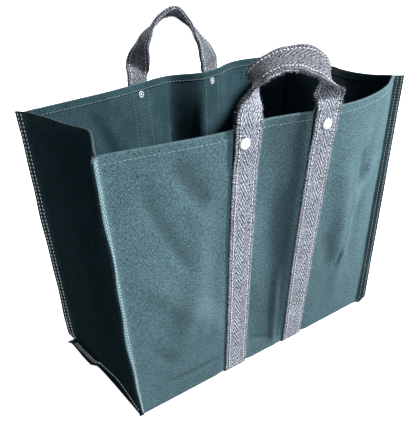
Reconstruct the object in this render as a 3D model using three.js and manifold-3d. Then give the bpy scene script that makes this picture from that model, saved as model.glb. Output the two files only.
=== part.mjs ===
// An open-topped grocery bag of heavy canvas with two handles of doubled cotton webbing.
// Millimetres, +Z up, front panel towards -Y. The bag stands on its base.
import * as THREE from 'three';
import Module from 'manifold-3d';

const wasm = await Module();
wasm.setup();

// Driving dimensions of the canvas body
const BASE_LENGTH = 429;
const BASE_DEPTH = 218;
const BASE_SHIFT = 2.5; // how far the base lies towards +X of the frame the panels are drawn in
const MOUTH_LENGTH = 493;
const MOUTH_DEPTH = 240;
const MOUTH_SHIFT = 17; // how far the mouth has swung towards +X
const BAG_HEIGHT = 392;
const CANVAS = 1.5;
const HEM_HEIGHT = 11;
const FLANGE = 15; // seam allowance of the four upright seams
const FLANGE_TRIM = 70; // height over which an allowance narrows to its foot
const FOOT_FLANGE = 13; // seam allowance along the foot of a gusset

// Driving dimensions of the webbing
const WEBBING_WIDTH = 38;
const WEBBING = 2.5;
const STRAP_SPACING = 118;
const FRONT_RISE = 72; // top of the handle above the hem
const BACK_RISE = 103;
const LINER_DROP = 27; // how far below the hem the doubling layer ends
const LINER_STEP = 8; // run in which the outer layer comes back to the canvas
const HANDLE_LIFT = 8; // straight run of a leg above the hem
const HEM_EASE = 0.5; // how far a leg stands off the hem's edge
const STRAP_SAG = 16; // run in which the base comes down to the floor beside a strap

// Driving dimensions of the rivets
const RIVET_DROP = 17;
const HEAD_RADIUS = 6.8;
const HEAD_HEIGHT = 2.6;
const POST_RADIUS = 2.2;
const PEEN_RADIUS = 3.4;
const PEEN = 0.7;
const BURR_RADIUS = 5.2;
const BURR = 1.2;

const GAP = 0.3; // clearance between touching pieces
const HEM_LEDGE = 0.4; // run of the step under a folded hem

// Facets
const ROUND_SIDES = 14;
const CORNER_COLUMNS = 5;
const MIDDLE_COLUMNS = 3;
const GUSSET_COLUMNS = 10;
const PANEL_ROWS = 9;
const BASE_ROWS = 4;
const HANDLE_ROWS = 26;

// Line of the front hem, left corner to right corner: bow is a share of the mouth's depth.
const FRONT_HEM = [
  { at: -1.0, bow: 0.0 },
  { at: -0.5, bow: 0.132 },
  { at: -0.3, bow: 0.152 },
  { at: -0.1, bow: 0.166 },
  { at: 0.15, bow: 0.208 },
  { at: 0.45, bow: 0.235 },
  { at: 0.75, bow: 0.148 },
  { at: 1.0, bow: 0.0 },
];

// Line of the back hem: the handle's right leg draws it inwards.
const BACK_HEM = [
  { at: -1.0, bow: 0.0 },
  { at: -0.55, bow: 0.04 },
  { at: -0.2, bow: 0.1 },
  { at: 0.04, bow: 0.145 },
  { at: 0.3, bow: 0.035 },
  { at: 0.62, bow: 0.17 },
  { at: 0.86, bow: 0.13 },
  { at: 1.0, bow: 0.0 },
];

// Gussets crease inwards: in is a share of the mouth's depth, at runs from front to back.
const LEFT_CREASE = [
  { at: -1.0, in: 0.0 },
  { at: -0.8, in: 0.03 },
  { at: -0.45, in: 0.1 },
  { at: -0.22, in: 0.13 },
  { at: 0.1, in: 0.092 },
  { at: 0.55, in: 0.045 },
  { at: 1.0, in: 0.0 },
];
const RIGHT_CREASE = [
  { at: -1.0, in: 0.0 },
  { at: -0.75, in: 0.075 },
  { at: -0.4, in: 0.09 },
  { at: 0.0, in: 0.045 },
  { at: 0.5, in: 0.02 },
  { at: 1.0, in: 0.0 },
];
const CREASE_AT_FOOT = 0.2; // share of a crease that reaches the base

// Soft folds: at and wide are shares of half the panel's length, high and tall shares of its
// height, lean is the fold's drift along the panel over the full height, out a share of its depth.
const FRONT_FOLDS = [
  { at: -0.62, high: 0.36, lean: 0.5, wide: 0.09, tall: 0.3, out: 0.03 },
  { at: -0.45, high: 0.62, lean: 0.1, wide: 0.08, tall: 0.26, out: -0.028 },
  { at: 0.0, high: 0.5, lean: -0.1, wide: 0.1, tall: 0.34, out: -0.03 },
  { at: 0.16, high: 0.1, lean: 0.1, wide: 0.035, tall: 0.1, out: 0.02 },
  { at: 0.5, high: 0.5, lean: -0.3, wide: 0.08, tall: 0.42, out: 0.032 },
  { at: 0.72, high: 0.6, lean: -0.1, wide: 0.08, tall: 0.4, out: -0.034 },
];
const BACK_FOLDS = [
  { at: -0.6, high: 0.55, lean: 0.4, wide: 0.1, tall: 0.3, out: 0.03 },
  { at: 0.05, high: 0.55, lean: 0.3, wide: 0.09, tall: 0.3, out: 0.035 },
  { at: 0.62, high: 0.5, lean: -0.2, wide: 0.09, tall: 0.36, out: -0.03 },
];

// Paths of the four webbing legs along the panels, as shares of the strap spacing. aside is how far
// the front rivet sits off the middle of its leg, as a share of the webbing's width.
const STRAP_TRACKS = [
  { frontHem: -0.485, frontFoot: -0.445, backFoot: -0.37, backHem: -0.245, aside: -0.16 },
  { frontHem: 0.525, frontFoot: 0.525, backFoot: 0.62, backHem: 0.89, aside: 0 },
];

// Handle bands, from the left leg to the right as seen from outside the bag: along is a share of
// the distance between the legs, out and up shares of the rise, roll turns the band about its run.
const FRONT_HANDLE = [
  { along: 0.05, out: 0.0, up: 0.34, roll: -74 },
  { along: 0.14, out: 0.0, up: 0.7, roll: -34 },
  { along: 0.31, out: 0.02, up: 0.93, roll: 14 },
  { along: 0.55, out: 0.0, up: 0.98, roll: 32 },
  { along: 0.83, out: -0.02, up: 0.91, roll: 42 },
  { along: 0.99, out: -0.03, up: 0.68, roll: 30 },
  { along: 1.03, out: -0.04, up: 0.36, roll: -20 },
];
const BACK_HANDLE = [
  { along: 0.06, out: -0.06, up: 0.27, roll: -66 },
  { along: 0.19, out: -0.08, up: 0.58, roll: -34 },
  { along: 0.34, out: -0.06, up: 0.85, roll: -4 },
  { along: 0.51, out: -0.05, up: 0.98, roll: 24 },
  { along: 0.68, out: -0.01, up: 0.86, roll: 28 },
  { along: 0.84, out: 0.03, up: 0.6, roll: 0 },
  { along: 0.95, out: 0.03, up: 0.3, roll: -46 },
];
const HANDLE_BLEND = 0.16; // share of the handle over which a leg's own direction fades out
const FLAT_ROLL = -90; // roll at which a band lies flat on its panel
const CURVE_TENSION = 0.5;

// Width of the seam allowance along a gusset's foot, front to back, as shares of its full width.
const FOOT_SEAM = [
  { at: -1.0, wide: 0.35 },
  { at: 0.25, wide: 0.42 },
  { at: 0.35, wide: 0.95 },
  { at: 1.0, wide: 1.0 },
];

// The four upright seams. x and y are where a seam meets the mouth, as shares of the mouth's length
// and depth off its middle. foot is the share of the allowance's width left at its foot.
const SEAMS = {
  frontLeft: { x: -0.512, y: -0.527, foot: 0.4 },
  frontRight: { x: 0.5, y: -0.488, foot: 1 },
  backLeft: { x: -0.492, y: 0.493, foot: 1 },
  backRight: { x: 0.5, y: 0.503, foot: 1 },
};

const EDGE_STIFFNESS = 8; // power with which the soft folds fade towards the upright seams

// Turned outlines. Head: radius and height as shares of the head's. Burr: radius as a share of the
// burr's, and depth below its top as a share of its thickness.
const HEAD_OUTLINE = [[1, 0.24], [0.94, 0.34], [0.72, 0.69], [0.4, 0.92], [0, 1]];
const BURR_OUTLINE = [[1, 0], [0.92, 0.7], [0.75, 1]];
const PEEN_FLAT = 0.7; // radius of the peened end's flat as a share of its full radius

const canvasFinish = () => new THREE.MeshStandardMaterial({ color: 0x4f6e77, roughness: 0.95, metalness: 0 });
const webbingFinish = () => new THREE.MeshStandardMaterial({ color: 0xa6a4ae, roughness: 0.9, metalness: 0 });
const metalFinish = () => new THREE.MeshStandardMaterial({ color: 0xe4e5e8, roughness: 0.3, metalness: 1 });

const vec = (x, y, z) => new THREE.Vector3(x, y, z);
const mix = (a, b, t) => a + (b - a) * t;
const up = vec(0, 0, 1);

// Value of one column of a table at a place between its rows, on a smooth line through them.
function along(rows, column, at) {
  const last = rows.length - 1;
  let i = 0;
  while (i < last - 1 && at > rows[i + 1].at) i += 1;
  const slope = (k) => {
    const a = rows[Math.max(k - 1, 0)];
    const b = rows[Math.min(k + 1, last)];
    return (b[column] - a[column]) / (b.at - a.at);
  };
  const run = rows[i + 1].at - rows[i].at;
  const t = Math.min(Math.max((at - rows[i].at) / run, 0), 1);
  const s = t * t * (3 - 2 * t);
  const lead = slope(i) * run * t * (1 - t) * (1 - t);
  const tail = slope(i + 1) * run * t * t * (1 - t);
  return mix(rows[i][column], rows[i + 1][column], s) + lead - tail;
}

// Push of the soft folds at a place on a panel, as a share of the panel's depth.
function foldsAt(folds, at, high) {
  return folds.reduce((sum, fold) => {
    const across = (at - fold.at - fold.lean * (high - fold.high)) / fold.wide;
    const height = (high - fold.high) / fold.tall;
    return sum + fold.out * Math.exp(-across * across - height * height);
  }, 0);
}

// Names of the seams and their places at the mouth and at the foot. side is -1 on the left, end is
// -1 at the front.
const seamName = (side, end) => `${end < 0 ? 'front' : 'back'}${side < 0 ? 'Left' : 'Right'}`;
function seamEnds(side, end) {
  const { x, y } = SEAMS[seamName(side, end)];
  return {
    mouth: vec(MOUTH_SHIFT + x * MOUTH_LENGTH, y * MOUTH_DEPTH, BAG_HEIGHT),
    foot: vec(BASE_SHIFT + (side * BASE_LENGTH) / 2, (end * BASE_DEPTH) / 2, 0),
  };
}

// Heights of the panel rows, from the hem down: the hem's ledge, the end of the doubling layer
// and its step have rows of their own.
const ROW_DROPS = [0, HEM_HEIGHT, HEM_HEIGHT + HEM_LEDGE, LINER_DROP, LINER_DROP + LINER_STEP];
for (let k = 1; k <= PANEL_ROWS; k += 1) {
  ROW_DROPS.push(mix(LINER_DROP + LINER_STEP, BAG_HEIGHT, k / PANEL_ROWS));
}
const FLOOR_MID = CANVAS / 2; // middle of the canvas where it lies on the floor
const STRAP_MID = WEBBING + GAP + CANVAS / 2; // middle of the canvas where it lies on webbing

// Columns of the body canvas: each is a line round the front, the base and the back.
function stopsOfBody() {
  const stop = (frontHem, frontFoot, backFoot, backHem, rest) => ({ frontHem, frontFoot, backFoot, backHem, rest });
  const corner = (side) => {
    const front = seamEnds(side, -1);
    const back = seamEnds(side, 1);
    return stop(front.mouth.x, front.foot.x, back.foot.x, back.mouth.x, FLOOR_MID);
  };
  const strap = (track, shift, rest) => stop(
    track.frontHem * STRAP_SPACING + shift, track.frontFoot * STRAP_SPACING + shift,
    track.backFoot * STRAP_SPACING + shift, track.backHem * STRAP_SPACING + shift, rest,
  );
  const stops = [corner(-1)];
  const counts = [];
  STRAP_TRACKS.forEach((track, k) => {
    const edge = WEBBING_WIDTH / 2;
    counts.push(k === 0 ? CORNER_COLUMNS : MIDDLE_COLUMNS, 1, 1, 1, 1);
    stops.push(
      strap(track, -edge - STRAP_SAG, FLOOR_MID), strap(track, -edge, STRAP_MID), strap(track, 0, STRAP_MID),
      strap(track, edge, STRAP_MID), strap(track, edge + STRAP_SAG, FLOOR_MID),
    );
  });
  stops.push(corner(1));
  counts.push(CORNER_COLUMNS);
  return { stops, counts };
}

function columnsOfBody() {
  const { stops, counts } = stopsOfBody();
  const columns = [stops[0]];
  counts.forEach((count, k) => {
    for (let i = 1; i <= count; i += 1) {
      const column = {};
      Object.keys(stops[k]).forEach((key) => { column[key] = mix(stops[k][key], stops[k + 1][key], i / count); });
      columns.push(column);
    }
  });
  return columns;
}
const COLUMNS = columnsOfBody();

// A point on the middle of the front or back canvas.
function onPanel(side, column, high) {
  const front = side === 'front';
  const outwards = front ? -1 : 1;
  const left = seamEnds(-1, outwards).mouth;
  const right = seamEnds(1, outwards).mouth;
  const hem = front ? column.frontHem : column.backHem;
  const foot = front ? column.frontFoot : column.backFoot;
  const share = (hem - left.x) / (right.x - left.x);
  const at = 2 * share - 1;
  const bow = along(front ? FRONT_HEM : BACK_HEM, 'bow', at) * MOUTH_DEPTH;
  const hemY = mix(left.y, right.y, share) + outwards * bow;
  const folds = foldsAt(front ? FRONT_FOLDS : BACK_FOLDS, at, high) * MOUTH_DEPTH;
  const edgeFade = 1 - at ** EDGE_STIFFNESS;
  return vec(
    mix(foot, hem, high),
    mix(outwards * BASE_DEPTH / 2, hemY, high) + outwards * folds * edgeFade * Math.sin(Math.PI * high),
    mix(column.rest, BAG_HEIGHT, high),
  );
}

// Seam allowance at a gusset's foot.
const footFlange = (y) => FOOT_FLANGE * along(FOOT_SEAM, 'wide', y / (BASE_DEPTH / 2));

// Step from an upright seam to the raw edge of its allowance, at a height.
function flange(side, end, height) {
  const wide = FLANGE * mix(SEAMS[seamName(side, end)].foot, 1, Math.min(height / FLANGE_TRIM, 1));
  return vec(side, end, 0).setLength(wide);
}

// The body canvas as rows of middle points: front hem, front foot, base, back foot, back hem.
// Under a strap the canvas is flat across.
function bodyGrid() {
  const rows = [];
  const panelRow = (side, end, drop) => {
    const row = COLUMNS.map((column) => onPanel(side, column, 1 - drop / BAG_HEIGHT));
    row.unshift(row[0].clone().add(flange(-1, end, BAG_HEIGHT - drop)));
    row.push(row[row.length - 1].clone().add(flange(1, end, BAG_HEIGHT - drop)));
    STRAP_TRACKS.forEach((_, k) => {
      const [left, middle, right] = strapColumns(k);
      row[middle].lerpVectors(row[left], row[right], 0.5);
    });
    return row;
  };
  ROW_DROPS.forEach((drop) => rows.push(panelRow('front', -1, drop)));
  for (let k = 1; k < BASE_ROWS; k += 1) {
    const share = k / BASE_ROWS;
    const y = mix(-BASE_DEPTH / 2, BASE_DEPTH / 2, share);
    const row = COLUMNS.map((column) => vec(mix(column.frontFoot, column.backFoot, share), y, column.rest));
    row.unshift(row[0].clone().add(vec(-footFlange(y), 0, 0)));
    row.push(row[row.length - 1].clone().add(vec(footFlange(y), 0, 0)));
    rows.push(row);
  }
  [...ROW_DROPS].reverse().forEach((drop) => rows.push(panelRow('back', 1, drop)));
  return rows;
}

// Mitred direction at each point of a grid: a step of length t along it keeps a thickness t.
function leansOf(grid, present = () => true) {
  const faceOf = (r, c) => {
    if (r < 0 || c < 0 || r >= grid.length - 1 || c >= grid[0].length - 1 || !present(r, c)) return null;
    const one = grid[r + 1][c + 1].clone().sub(grid[r][c]);
    const two = grid[r + 1][c].clone().sub(grid[r][c + 1]);
    return one.cross(two).normalize();
  };
  return grid.map((row, r) => row.map((_, c) => {
    const faces = [faceOf(r - 1, c - 1), faceOf(r - 1, c), faceOf(r, c - 1), faceOf(r, c)].filter(Boolean);
    const lean = vec(0, 0, 0);
    faces.forEach((face) => lean.add(face));
    if (faces.length === 0) return lean;
    lean.normalize();
    const spread = faces.reduce((sum, face) => sum + face.dot(lean), 0) / faces.length;
    return lean.divideScalar(spread);
  }));
}

// A closed solid round a grid of middle points. before and after are the distances from the
// middle to the faces on the leaning side and on the other side.
function sheetSolid(grid, leans, before, after, present = () => true) {
  const across = grid[0].length;
  const points = [];
  const index = new Map();
  const corner = (r, c, side) => {
    const key = (r * across + c) * 2 + side;
    if (!index.has(key)) {
      const reach = side === 0 ? before(r, c) : -after(r, c);
      index.set(key, points.length / 3);
      points.push(...grid[r][c].clone().addScaledVector(leans[r][c], reach).toArray());
    }
    return index.get(key);
  };
  const faces = [];
  const quad = (a, b, c, d) => faces.push(a, b, c, a, c, d);
  const inside = (r, c) => r >= 0 && c >= 0 && r < grid.length - 1 && c < across - 1 && present(r, c);
  for (let r = 0; r < grid.length - 1; r += 1) {
    for (let c = 0; c < across - 1; c += 1) {
      if (!inside(r, c)) continue;
      const at = (side, dr, dc) => corner(r + dr, c + dc, side);
      quad(at(0, 0, 0), at(0, 1, 0), at(0, 1, 1), at(0, 0, 1));
      quad(at(1, 0, 0), at(1, 0, 1), at(1, 1, 1), at(1, 1, 0));
      if (!inside(r - 1, c)) quad(at(0, 0, 0), at(0, 0, 1), at(1, 0, 1), at(1, 0, 0));
      if (!inside(r + 1, c)) quad(at(0, 1, 1), at(0, 1, 0), at(1, 1, 0), at(1, 1, 1));
      if (!inside(r, c - 1)) quad(at(0, 1, 0), at(0, 0, 0), at(1, 0, 0), at(1, 1, 0));
      if (!inside(r, c + 1)) quad(at(0, 0, 1), at(0, 1, 1), at(1, 1, 1), at(1, 0, 1));
    }
  }
  return solidOf(points, faces);
}

// Six times the volume inside a list of triangles: negative when the faces point inwards.
function signedVolume(points, faces) {
  const at = (k) => vec(points[3 * k], points[3 * k + 1], points[3 * k + 2]);
  let sum = 0;
  for (let k = 0; k < faces.length; k += 3) {
    sum += at(faces[k]).dot(at(faces[k + 1]).cross(at(faces[k + 2])));
  }
  return sum;
}

function solidOf(points, faces) {
  if (signedVolume(points, faces) < 0) {
    for (let k = 0; k < faces.length; k += 3) [faces[k + 1], faces[k + 2]] = [faces[k + 2], faces[k + 1]];
  }
  return new wasm.Manifold(new wasm.Mesh({
    numProp: 3, vertProperties: Float32Array.from(points), triVerts: Uint32Array.from(faces),
  }));
}

// A turned solid from an outline of [radius, height] points that starts and ends on the axis,
// or closes on itself, placed with its axis along a direction.
function turnedSolid(outline, closed, place, way) {
  const points = [];
  const faces = [];
  const turn = new THREE.Quaternion().setFromUnitVectors(up, way);
  const rings = outline.map(([radius, height]) => {
    const count = radius === 0 ? 1 : ROUND_SIDES;
    const ring = [];
    for (let k = 0; k < count; k += 1) {
      const angle = (2 * Math.PI * k) / ROUND_SIDES;
      const point = vec(radius * Math.cos(angle), radius * Math.sin(angle), height).applyQuaternion(turn).add(place);
      ring.push(points.length / 3);
      points.push(...point.toArray());
    }
    return ring;
  });
  const bands = closed ? rings.length : rings.length - 1;
  for (let i = 0; i < bands; i += 1) {
    const low = rings[i];
    const high = rings[(i + 1) % rings.length];
    for (let k = 0; k < ROUND_SIDES; k += 1) {
      const next = (k + 1) % ROUND_SIDES;
      if (low.length > 1) faces.push(low[k], low[next], high[next % high.length]);
      if (high.length > 1) faces.push(low[k % low.length], high[next], high[k]);
    }
  }
  return solidOf(points, faces);
}

const BODY = bodyGrid();
const BODY_LEANS = leansOf(BODY);
const LAST_ROW = BODY.length - 1;
const MIDDLE_ROW = LAST_ROW / 2;
const dropOfRow = (r) => ROW_DROPS[Math.min(r, LAST_ROW - r)] ?? BAG_HEIGHT;

const half = (size) => () => size / 2;

// Whether a column lies on the panel, off the upright seams and their allowances.
const offSeam = (grid, c) => c > 1 && c < grid[0].length - 2;

// The fold of a hem doubles the canvas on the inside.
const hemInside = (drop) => (drop <= HEM_HEIGHT ? CANVAS * 1.5 : CANVAS / 2);

// Columns of the body grid that carry a strap: left edge, middle and right edge.
function strapColumns(k) {
  const left = 1 + CORNER_COLUMNS + 1 + k * (MIDDLE_COLUMNS + 4);
  return [left, left + 1, left + 2];
}

// A gusset from its front seam to its back seam, with the flanges and the foot's allowance.
function gussetGrid(side) {
  const crease = side < 0 ? LEFT_CREASE : RIGHT_CREASE;
  const seam = CANVAS + GAP;
  const edge = (end, high) => {
    const point = onPanel(end < 0 ? 'front' : 'back', COLUMNS[side < 0 ? 0 : COLUMNS.length - 1], high);
    return point.add(vec(side, -end, 0).setLength(seam));
  };
  const rows = ROW_DROPS.map((drop) => {
    const high = 1 - drop / BAG_HEIGHT;
    const front = edge(-1, high);
    const back = edge(1, high);
    const lift = drop === BAG_HEIGHT ? seam : 0;
    const row = [];
    for (let k = 0; k <= GUSSET_COLUMNS; k += 1) {
      const share = k / GUSSET_COLUMNS;
      const push = along(crease, 'in', 2 * share - 1) * MOUTH_DEPTH * mix(CREASE_AT_FOOT, 1, high);
      row.push(vec(mix(front.x, back.x, share) - side * push, mix(front.y, back.y, share), front.z + lift));
    }
    row.unshift(row[0].clone().add(flange(side, -1, BAG_HEIGHT - drop)));
    row.push(row[row.length - 1].clone().add(flange(side, 1, BAG_HEIGHT - drop)));
    return row;
  });
  rows.push(rows[rows.length - 1].map((point) => point.clone().add(vec(side * footFlange(point.y), 0, 0))));
  return rows;
}

function gusset(side) {
  const grid = gussetGrid(side);
  const foot = grid.length - 2;
  const present = (r, c) => r < foot || (c > 0 && c < grid[0].length - 2);
  const leans = leansOf(grid, present);
  const inner = (r, c) => (offSeam(grid, c) ? hemInside(ROW_DROPS[r] ?? BAG_HEIGHT) : CANVAS / 2);
  return side < 0
    ? sheetSolid(grid, leans, half(CANVAS), inner, present)
    : sheetSolid(grid, leans, inner, half(CANVAS), present);
}

// Middle of one leg of webbing, hem row first, as columns from edge to edge.
function legRows(rows, columns) {
  return rows.map((r) => {
    const drop = dropOfRow(r);
    const doubled = drop <= LINER_DROP ? WEBBING + GAP : 0;
    const away = CANVAS / 2 + GAP + WEBBING / 2 + doubled + (drop === 0 ? HEM_EASE : 0);
    return columns.map((c) => {
      const point = BODY[r][c].clone().addScaledVector(BODY_LEANS[r][c], -away);
      if (r === MIDDLE_ROW) point.y += Math.sign(BODY[rows[0]][c].y) * GAP / 2;
      return point;
    });
  });
}

// Rows of the band between its two legs. The first and last rows of the legs are left out.
function handleRows(side, leftLeg, rightLeg) {
  const front = side === 'front';
  const table = front ? FRONT_HANDLE : BACK_HANDLE;
  const rise = front ? FRONT_RISE : BACK_RISE;
  const from = leftLeg[0][1];
  const to = rightLeg[0][1];
  const across = vec(to.x - from.x, to.y - from.y, 0);
  const span = across.length();
  across.normalize();
  const outwards = vec(across.y, -across.x, 0);
  const place = (row) => from.clone()
    .addScaledVector(across, row.along * span)
    .addScaledVector(outwards, row.out * rise)
    .add(vec(0, 0, row.up * rise));
  const lifted = (leg) => leg[0][1].clone()
    .addScaledVector(leg[0][1].clone().sub(leg[1][1]).normalize(), HANDLE_LIFT);
  const onLeft = [leftLeg[1][1], from, lifted(leftLeg)];
  const onRight = [lifted(rightLeg), to, rightLeg[1][1]];
  const route = [...onLeft, ...table.map(place), ...onRight];
  const curve = new THREE.CatmullRomCurve3(route, false, 'catmullrom', CURVE_TENSION);
  const flatRolls = onLeft.map(() => FLAT_ROLL);
  const rolls = [...flatRolls, ...table.map((row) => row.roll), ...flatRolls];
  const pieces = route.length - 1;
  const legPieces = onLeft.length - 1;
  const rollAt = (t) => {
    const i = Math.min(Math.floor(t), pieces - 1);
    const s = t - i;
    return mix(rolls[i], rolls[i + 1], s * s * (3 - 2 * s));
  };
  const wayOf = (leg) => leg[0][2].clone().sub(leg[0][0]).normalize();
  const rows = [];
  for (let k = 0; k <= HANDLE_ROWS; k += 1) {
    const share = k / HANDLE_ROWS;
    const t = mix(legPieces, pieces - legPieces, share);
    const point = curve.getPoint(t / pieces);
    const run = curve.getTangent(t / pieces);
    const out = outwards.clone().addScaledVector(run, -outwards.dot(run)).normalize();
    const aside = run.clone().cross(out);
    const roll = THREE.MathUtils.degToRad(rollAt(t));
    const width = out.multiplyScalar(Math.cos(roll)).addScaledVector(aside, Math.sin(roll));
    const near = Math.min(share, 1 - share) / HANDLE_BLEND;
    if (near < 1) {
      const own = wayOf(share < 0.5 ? leftLeg : rightLeg);
      own.addScaledVector(run, -own.dot(run)).normalize();
      width.lerp(own, 1 - near * near * (3 - 2 * near)).normalize();
    }
    rows.push([-1, 0, 1].map((edge) => point.clone().addScaledVector(width, edge * WEBBING_WIDTH / 2)));
  }
  return rows;
}

// The webbing of one panel: its grid runs from the middle of the base over the handle and back.
function webbingGrid(side) {
  const front = side === 'front';
  const rows = [];
  for (let r = 0; r <= MIDDLE_ROW; r += 1) rows.push(front ? r : LAST_ROW - r);
  const order = front ? [0, 1] : [1, 0];
  const [left, right] = order.map((k) => strapColumns(k));
  const leftLeg = legRows(rows, front ? [...left].reverse() : left);
  const rightLeg = legRows(rows, front ? right : [...right].reverse());
  const handle = handleRows(side, leftLeg, rightLeg);
  return { grid: [...[...leftLeg].reverse(), ...handle, ...rightLeg], legRowCount: leftLeg.length };
}

function webbingPieces(side) {
  const { grid, legRowCount } = webbingGrid(side);
  const leans = leansOf(grid);
  const webbing = sheetSolid(grid, leans, half(WEBBING), half(WEBBING));
  const doubledRows = ROW_DROPS.filter((drop) => drop <= LINER_DROP).length;
  const first = legRowCount - doubledRows;
  const last = grid.length - first;
  const inner = grid.slice(first, last).map((row, r) => row.map((point, c) => (
    point.clone().addScaledVector(leans[first + r][c], WEBBING + GAP)
  )));
  const liner = sheetSolid(inner, leansOf(inner), half(WEBBING), half(WEBBING));
  return { webbing, liner };
}

// Place and outward direction of each rivet, on the middle of the canvas.
function rivetPlaces() {
  const places = [];
  const high = ROW_DROPS.indexOf(HEM_HEIGHT + HEM_LEDGE);
  const share = (RIVET_DROP - ROW_DROPS[high]) / (ROW_DROPS[high + 1] - ROW_DROPS[high]);
  ['front', 'back'].forEach((side) => {
    const rows = side === 'front' ? [high, high + 1] : [LAST_ROW - high, LAST_ROW - high - 1];
    ['left', 'right'].forEach((hand, k) => {
      const [edge, middle, other] = strapColumns(k);
      const place = BODY[rows[0]][middle].clone().lerp(BODY[rows[1]][middle], share);
      const downwards = BODY[rows[1]][middle].clone().sub(BODY[rows[0]][middle]);
      const across = BODY[rows[0]][other].clone().sub(BODY[rows[0]][edge]);
      if (side === 'front') place.addScaledVector(across, STRAP_TRACKS[k].aside);
      const way = downwards.cross(across).normalize();
      if (way.y * place.y < 0) way.negate();
      places.push({ name: `${side}_${hand}`, place, way });
    });
  });
  return places;
}

const HEAD_SEAT = CANVAS / 2 + 2 * WEBBING + 3 * GAP; // underside of the head above the canvas's middle
const BURR_TOP = -CANVAS / 2 - GAP;
const BURR_FOOT = BURR_TOP - BURR;
const PEEN_TOP = BURR_FOOT - GAP;

function rivet({ place, way }) {
  const dome = HEAD_OUTLINE.map(([out, high]) => [HEAD_RADIUS * out, HEAD_SEAT + HEAD_HEIGHT * high]);
  return turnedSolid([
    [0, PEEN_TOP - PEEN], [PEEN_RADIUS * PEEN_FLAT, PEEN_TOP - PEEN], [PEEN_RADIUS, PEEN_TOP],
    [POST_RADIUS, PEEN_TOP], [POST_RADIUS, HEAD_SEAT], [HEAD_RADIUS, HEAD_SEAT], ...dome,
  ], false, place, way);
}

function burr({ place, way }) {
  const bore = POST_RADIUS + GAP;
  const rim = BURR_OUTLINE.map(([out, deep]) => [BURR_RADIUS * out, mix(BURR_TOP, BURR_FOOT, deep)]);
  return turnedSolid([[bore, BURR_TOP], ...rim, [bore, BURR_FOOT]], true, place, way);
}

function clearanceHole({ place, way }) {
  const radius = POST_RADIUS + GAP;
  const reach = HEAD_SEAT + HEAD_HEIGHT;
  return turnedSolid([[0, -reach], [radius, -reach], [radius, reach], [0, reach]], false, place, way);
}

function meshOf(name, solid, material) {
  const { vertProperties, triVerts } = solid.getMesh();
  const geometry = new THREE.BufferGeometry();
  geometry.setAttribute('position', new THREE.BufferAttribute(Float32Array.from(vertProperties), 3));
  geometry.setIndex(new THREE.BufferAttribute(Uint32Array.from(triVerts), 1));
  geometry.computeVertexNormals();
  const mesh = new THREE.Mesh(geometry, material);
  mesh.name = name;
  return mesh;
}

const group = new THREE.Group();
const places = rivetPlaces();
const drilled = (solid, side) => places
  .filter((rivetPlace) => rivetPlace.name.startsWith(side))
  .reduce((body, rivetPlace) => body.subtract(clearanceHole(rivetPlace)), solid);

const bodyInside = (r, c) => (offSeam(BODY, c) ? hemInside(dropOfRow(r)) : CANVAS / 2);
const body = sheetSolid(BODY, BODY_LEANS, bodyInside, half(CANVAS));
group.add(meshOf('body_canvas', drilled(body, ''), canvasFinish()));
group.add(meshOf('gusset_left', gusset(-1), canvasFinish()));
group.add(meshOf('gusset_right', gusset(1), canvasFinish()));
['front', 'back'].forEach((side) => {
  const { webbing, liner } = webbingPieces(side);
  group.add(meshOf(`webbing_${side}`, drilled(webbing, side), webbingFinish()));
  group.add(meshOf(`liner_${side}`, drilled(liner, side), webbingFinish()));
});
places.forEach((rivetPlace) => {
  group.add(meshOf(`rivet_${rivetPlace.name}`, rivet(rivetPlace), metalFinish()));
  group.add(meshOf(`burr_${rivetPlace.name}`, burr(rivetPlace), metalFinish()));
});

// The origin is under the middle of the whole bag, on the surface that it stands on.
const bounds = new THREE.Box3().setFromObject(group);
group.position.set(-(bounds.min.x + bounds.max.x) / 2, -(bounds.min.y + bounds.max.y) / 2, -bounds.min.z);

export default group;
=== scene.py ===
"""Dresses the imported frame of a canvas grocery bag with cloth, webbing, stitching and rivets."""

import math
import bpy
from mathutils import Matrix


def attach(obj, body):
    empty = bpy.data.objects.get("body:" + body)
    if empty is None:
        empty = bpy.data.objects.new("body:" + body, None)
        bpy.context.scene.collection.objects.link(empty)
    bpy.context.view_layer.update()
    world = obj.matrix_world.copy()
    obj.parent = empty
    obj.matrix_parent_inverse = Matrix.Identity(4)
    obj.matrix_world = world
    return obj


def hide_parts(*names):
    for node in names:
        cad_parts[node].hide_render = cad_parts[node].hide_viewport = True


bl_info = {
    "name": "Canvas Grocery Bag",
    "version": (1, 0, 0),
    "blender": (4, 5, 0),
    "location": "View3D > Sidebar > Grocery Bag",
    "description": "Builds the cloth, webbing, stitching and rivets of a canvas grocery bag",
    "category": "Add Mesh",
}

import bmesh
import bpy
import numpy as np
from bpy.props import FloatProperty, FloatVectorProperty, IntProperty, PointerProperty
from mathutils import Matrix, Vector, noise

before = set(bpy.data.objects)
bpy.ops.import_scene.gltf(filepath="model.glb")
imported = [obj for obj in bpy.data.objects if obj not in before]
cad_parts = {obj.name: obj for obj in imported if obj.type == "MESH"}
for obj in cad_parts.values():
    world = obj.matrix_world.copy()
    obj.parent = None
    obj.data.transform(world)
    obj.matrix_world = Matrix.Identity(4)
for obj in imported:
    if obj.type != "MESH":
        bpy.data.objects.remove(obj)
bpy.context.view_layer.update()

MM = 0.001
# From the frame that the panels are drawn in to the frame of the bag, in millimetres.
DRAWING_SHIFT = np.array([-14.0415, 12.019, 0.0698])

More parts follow.
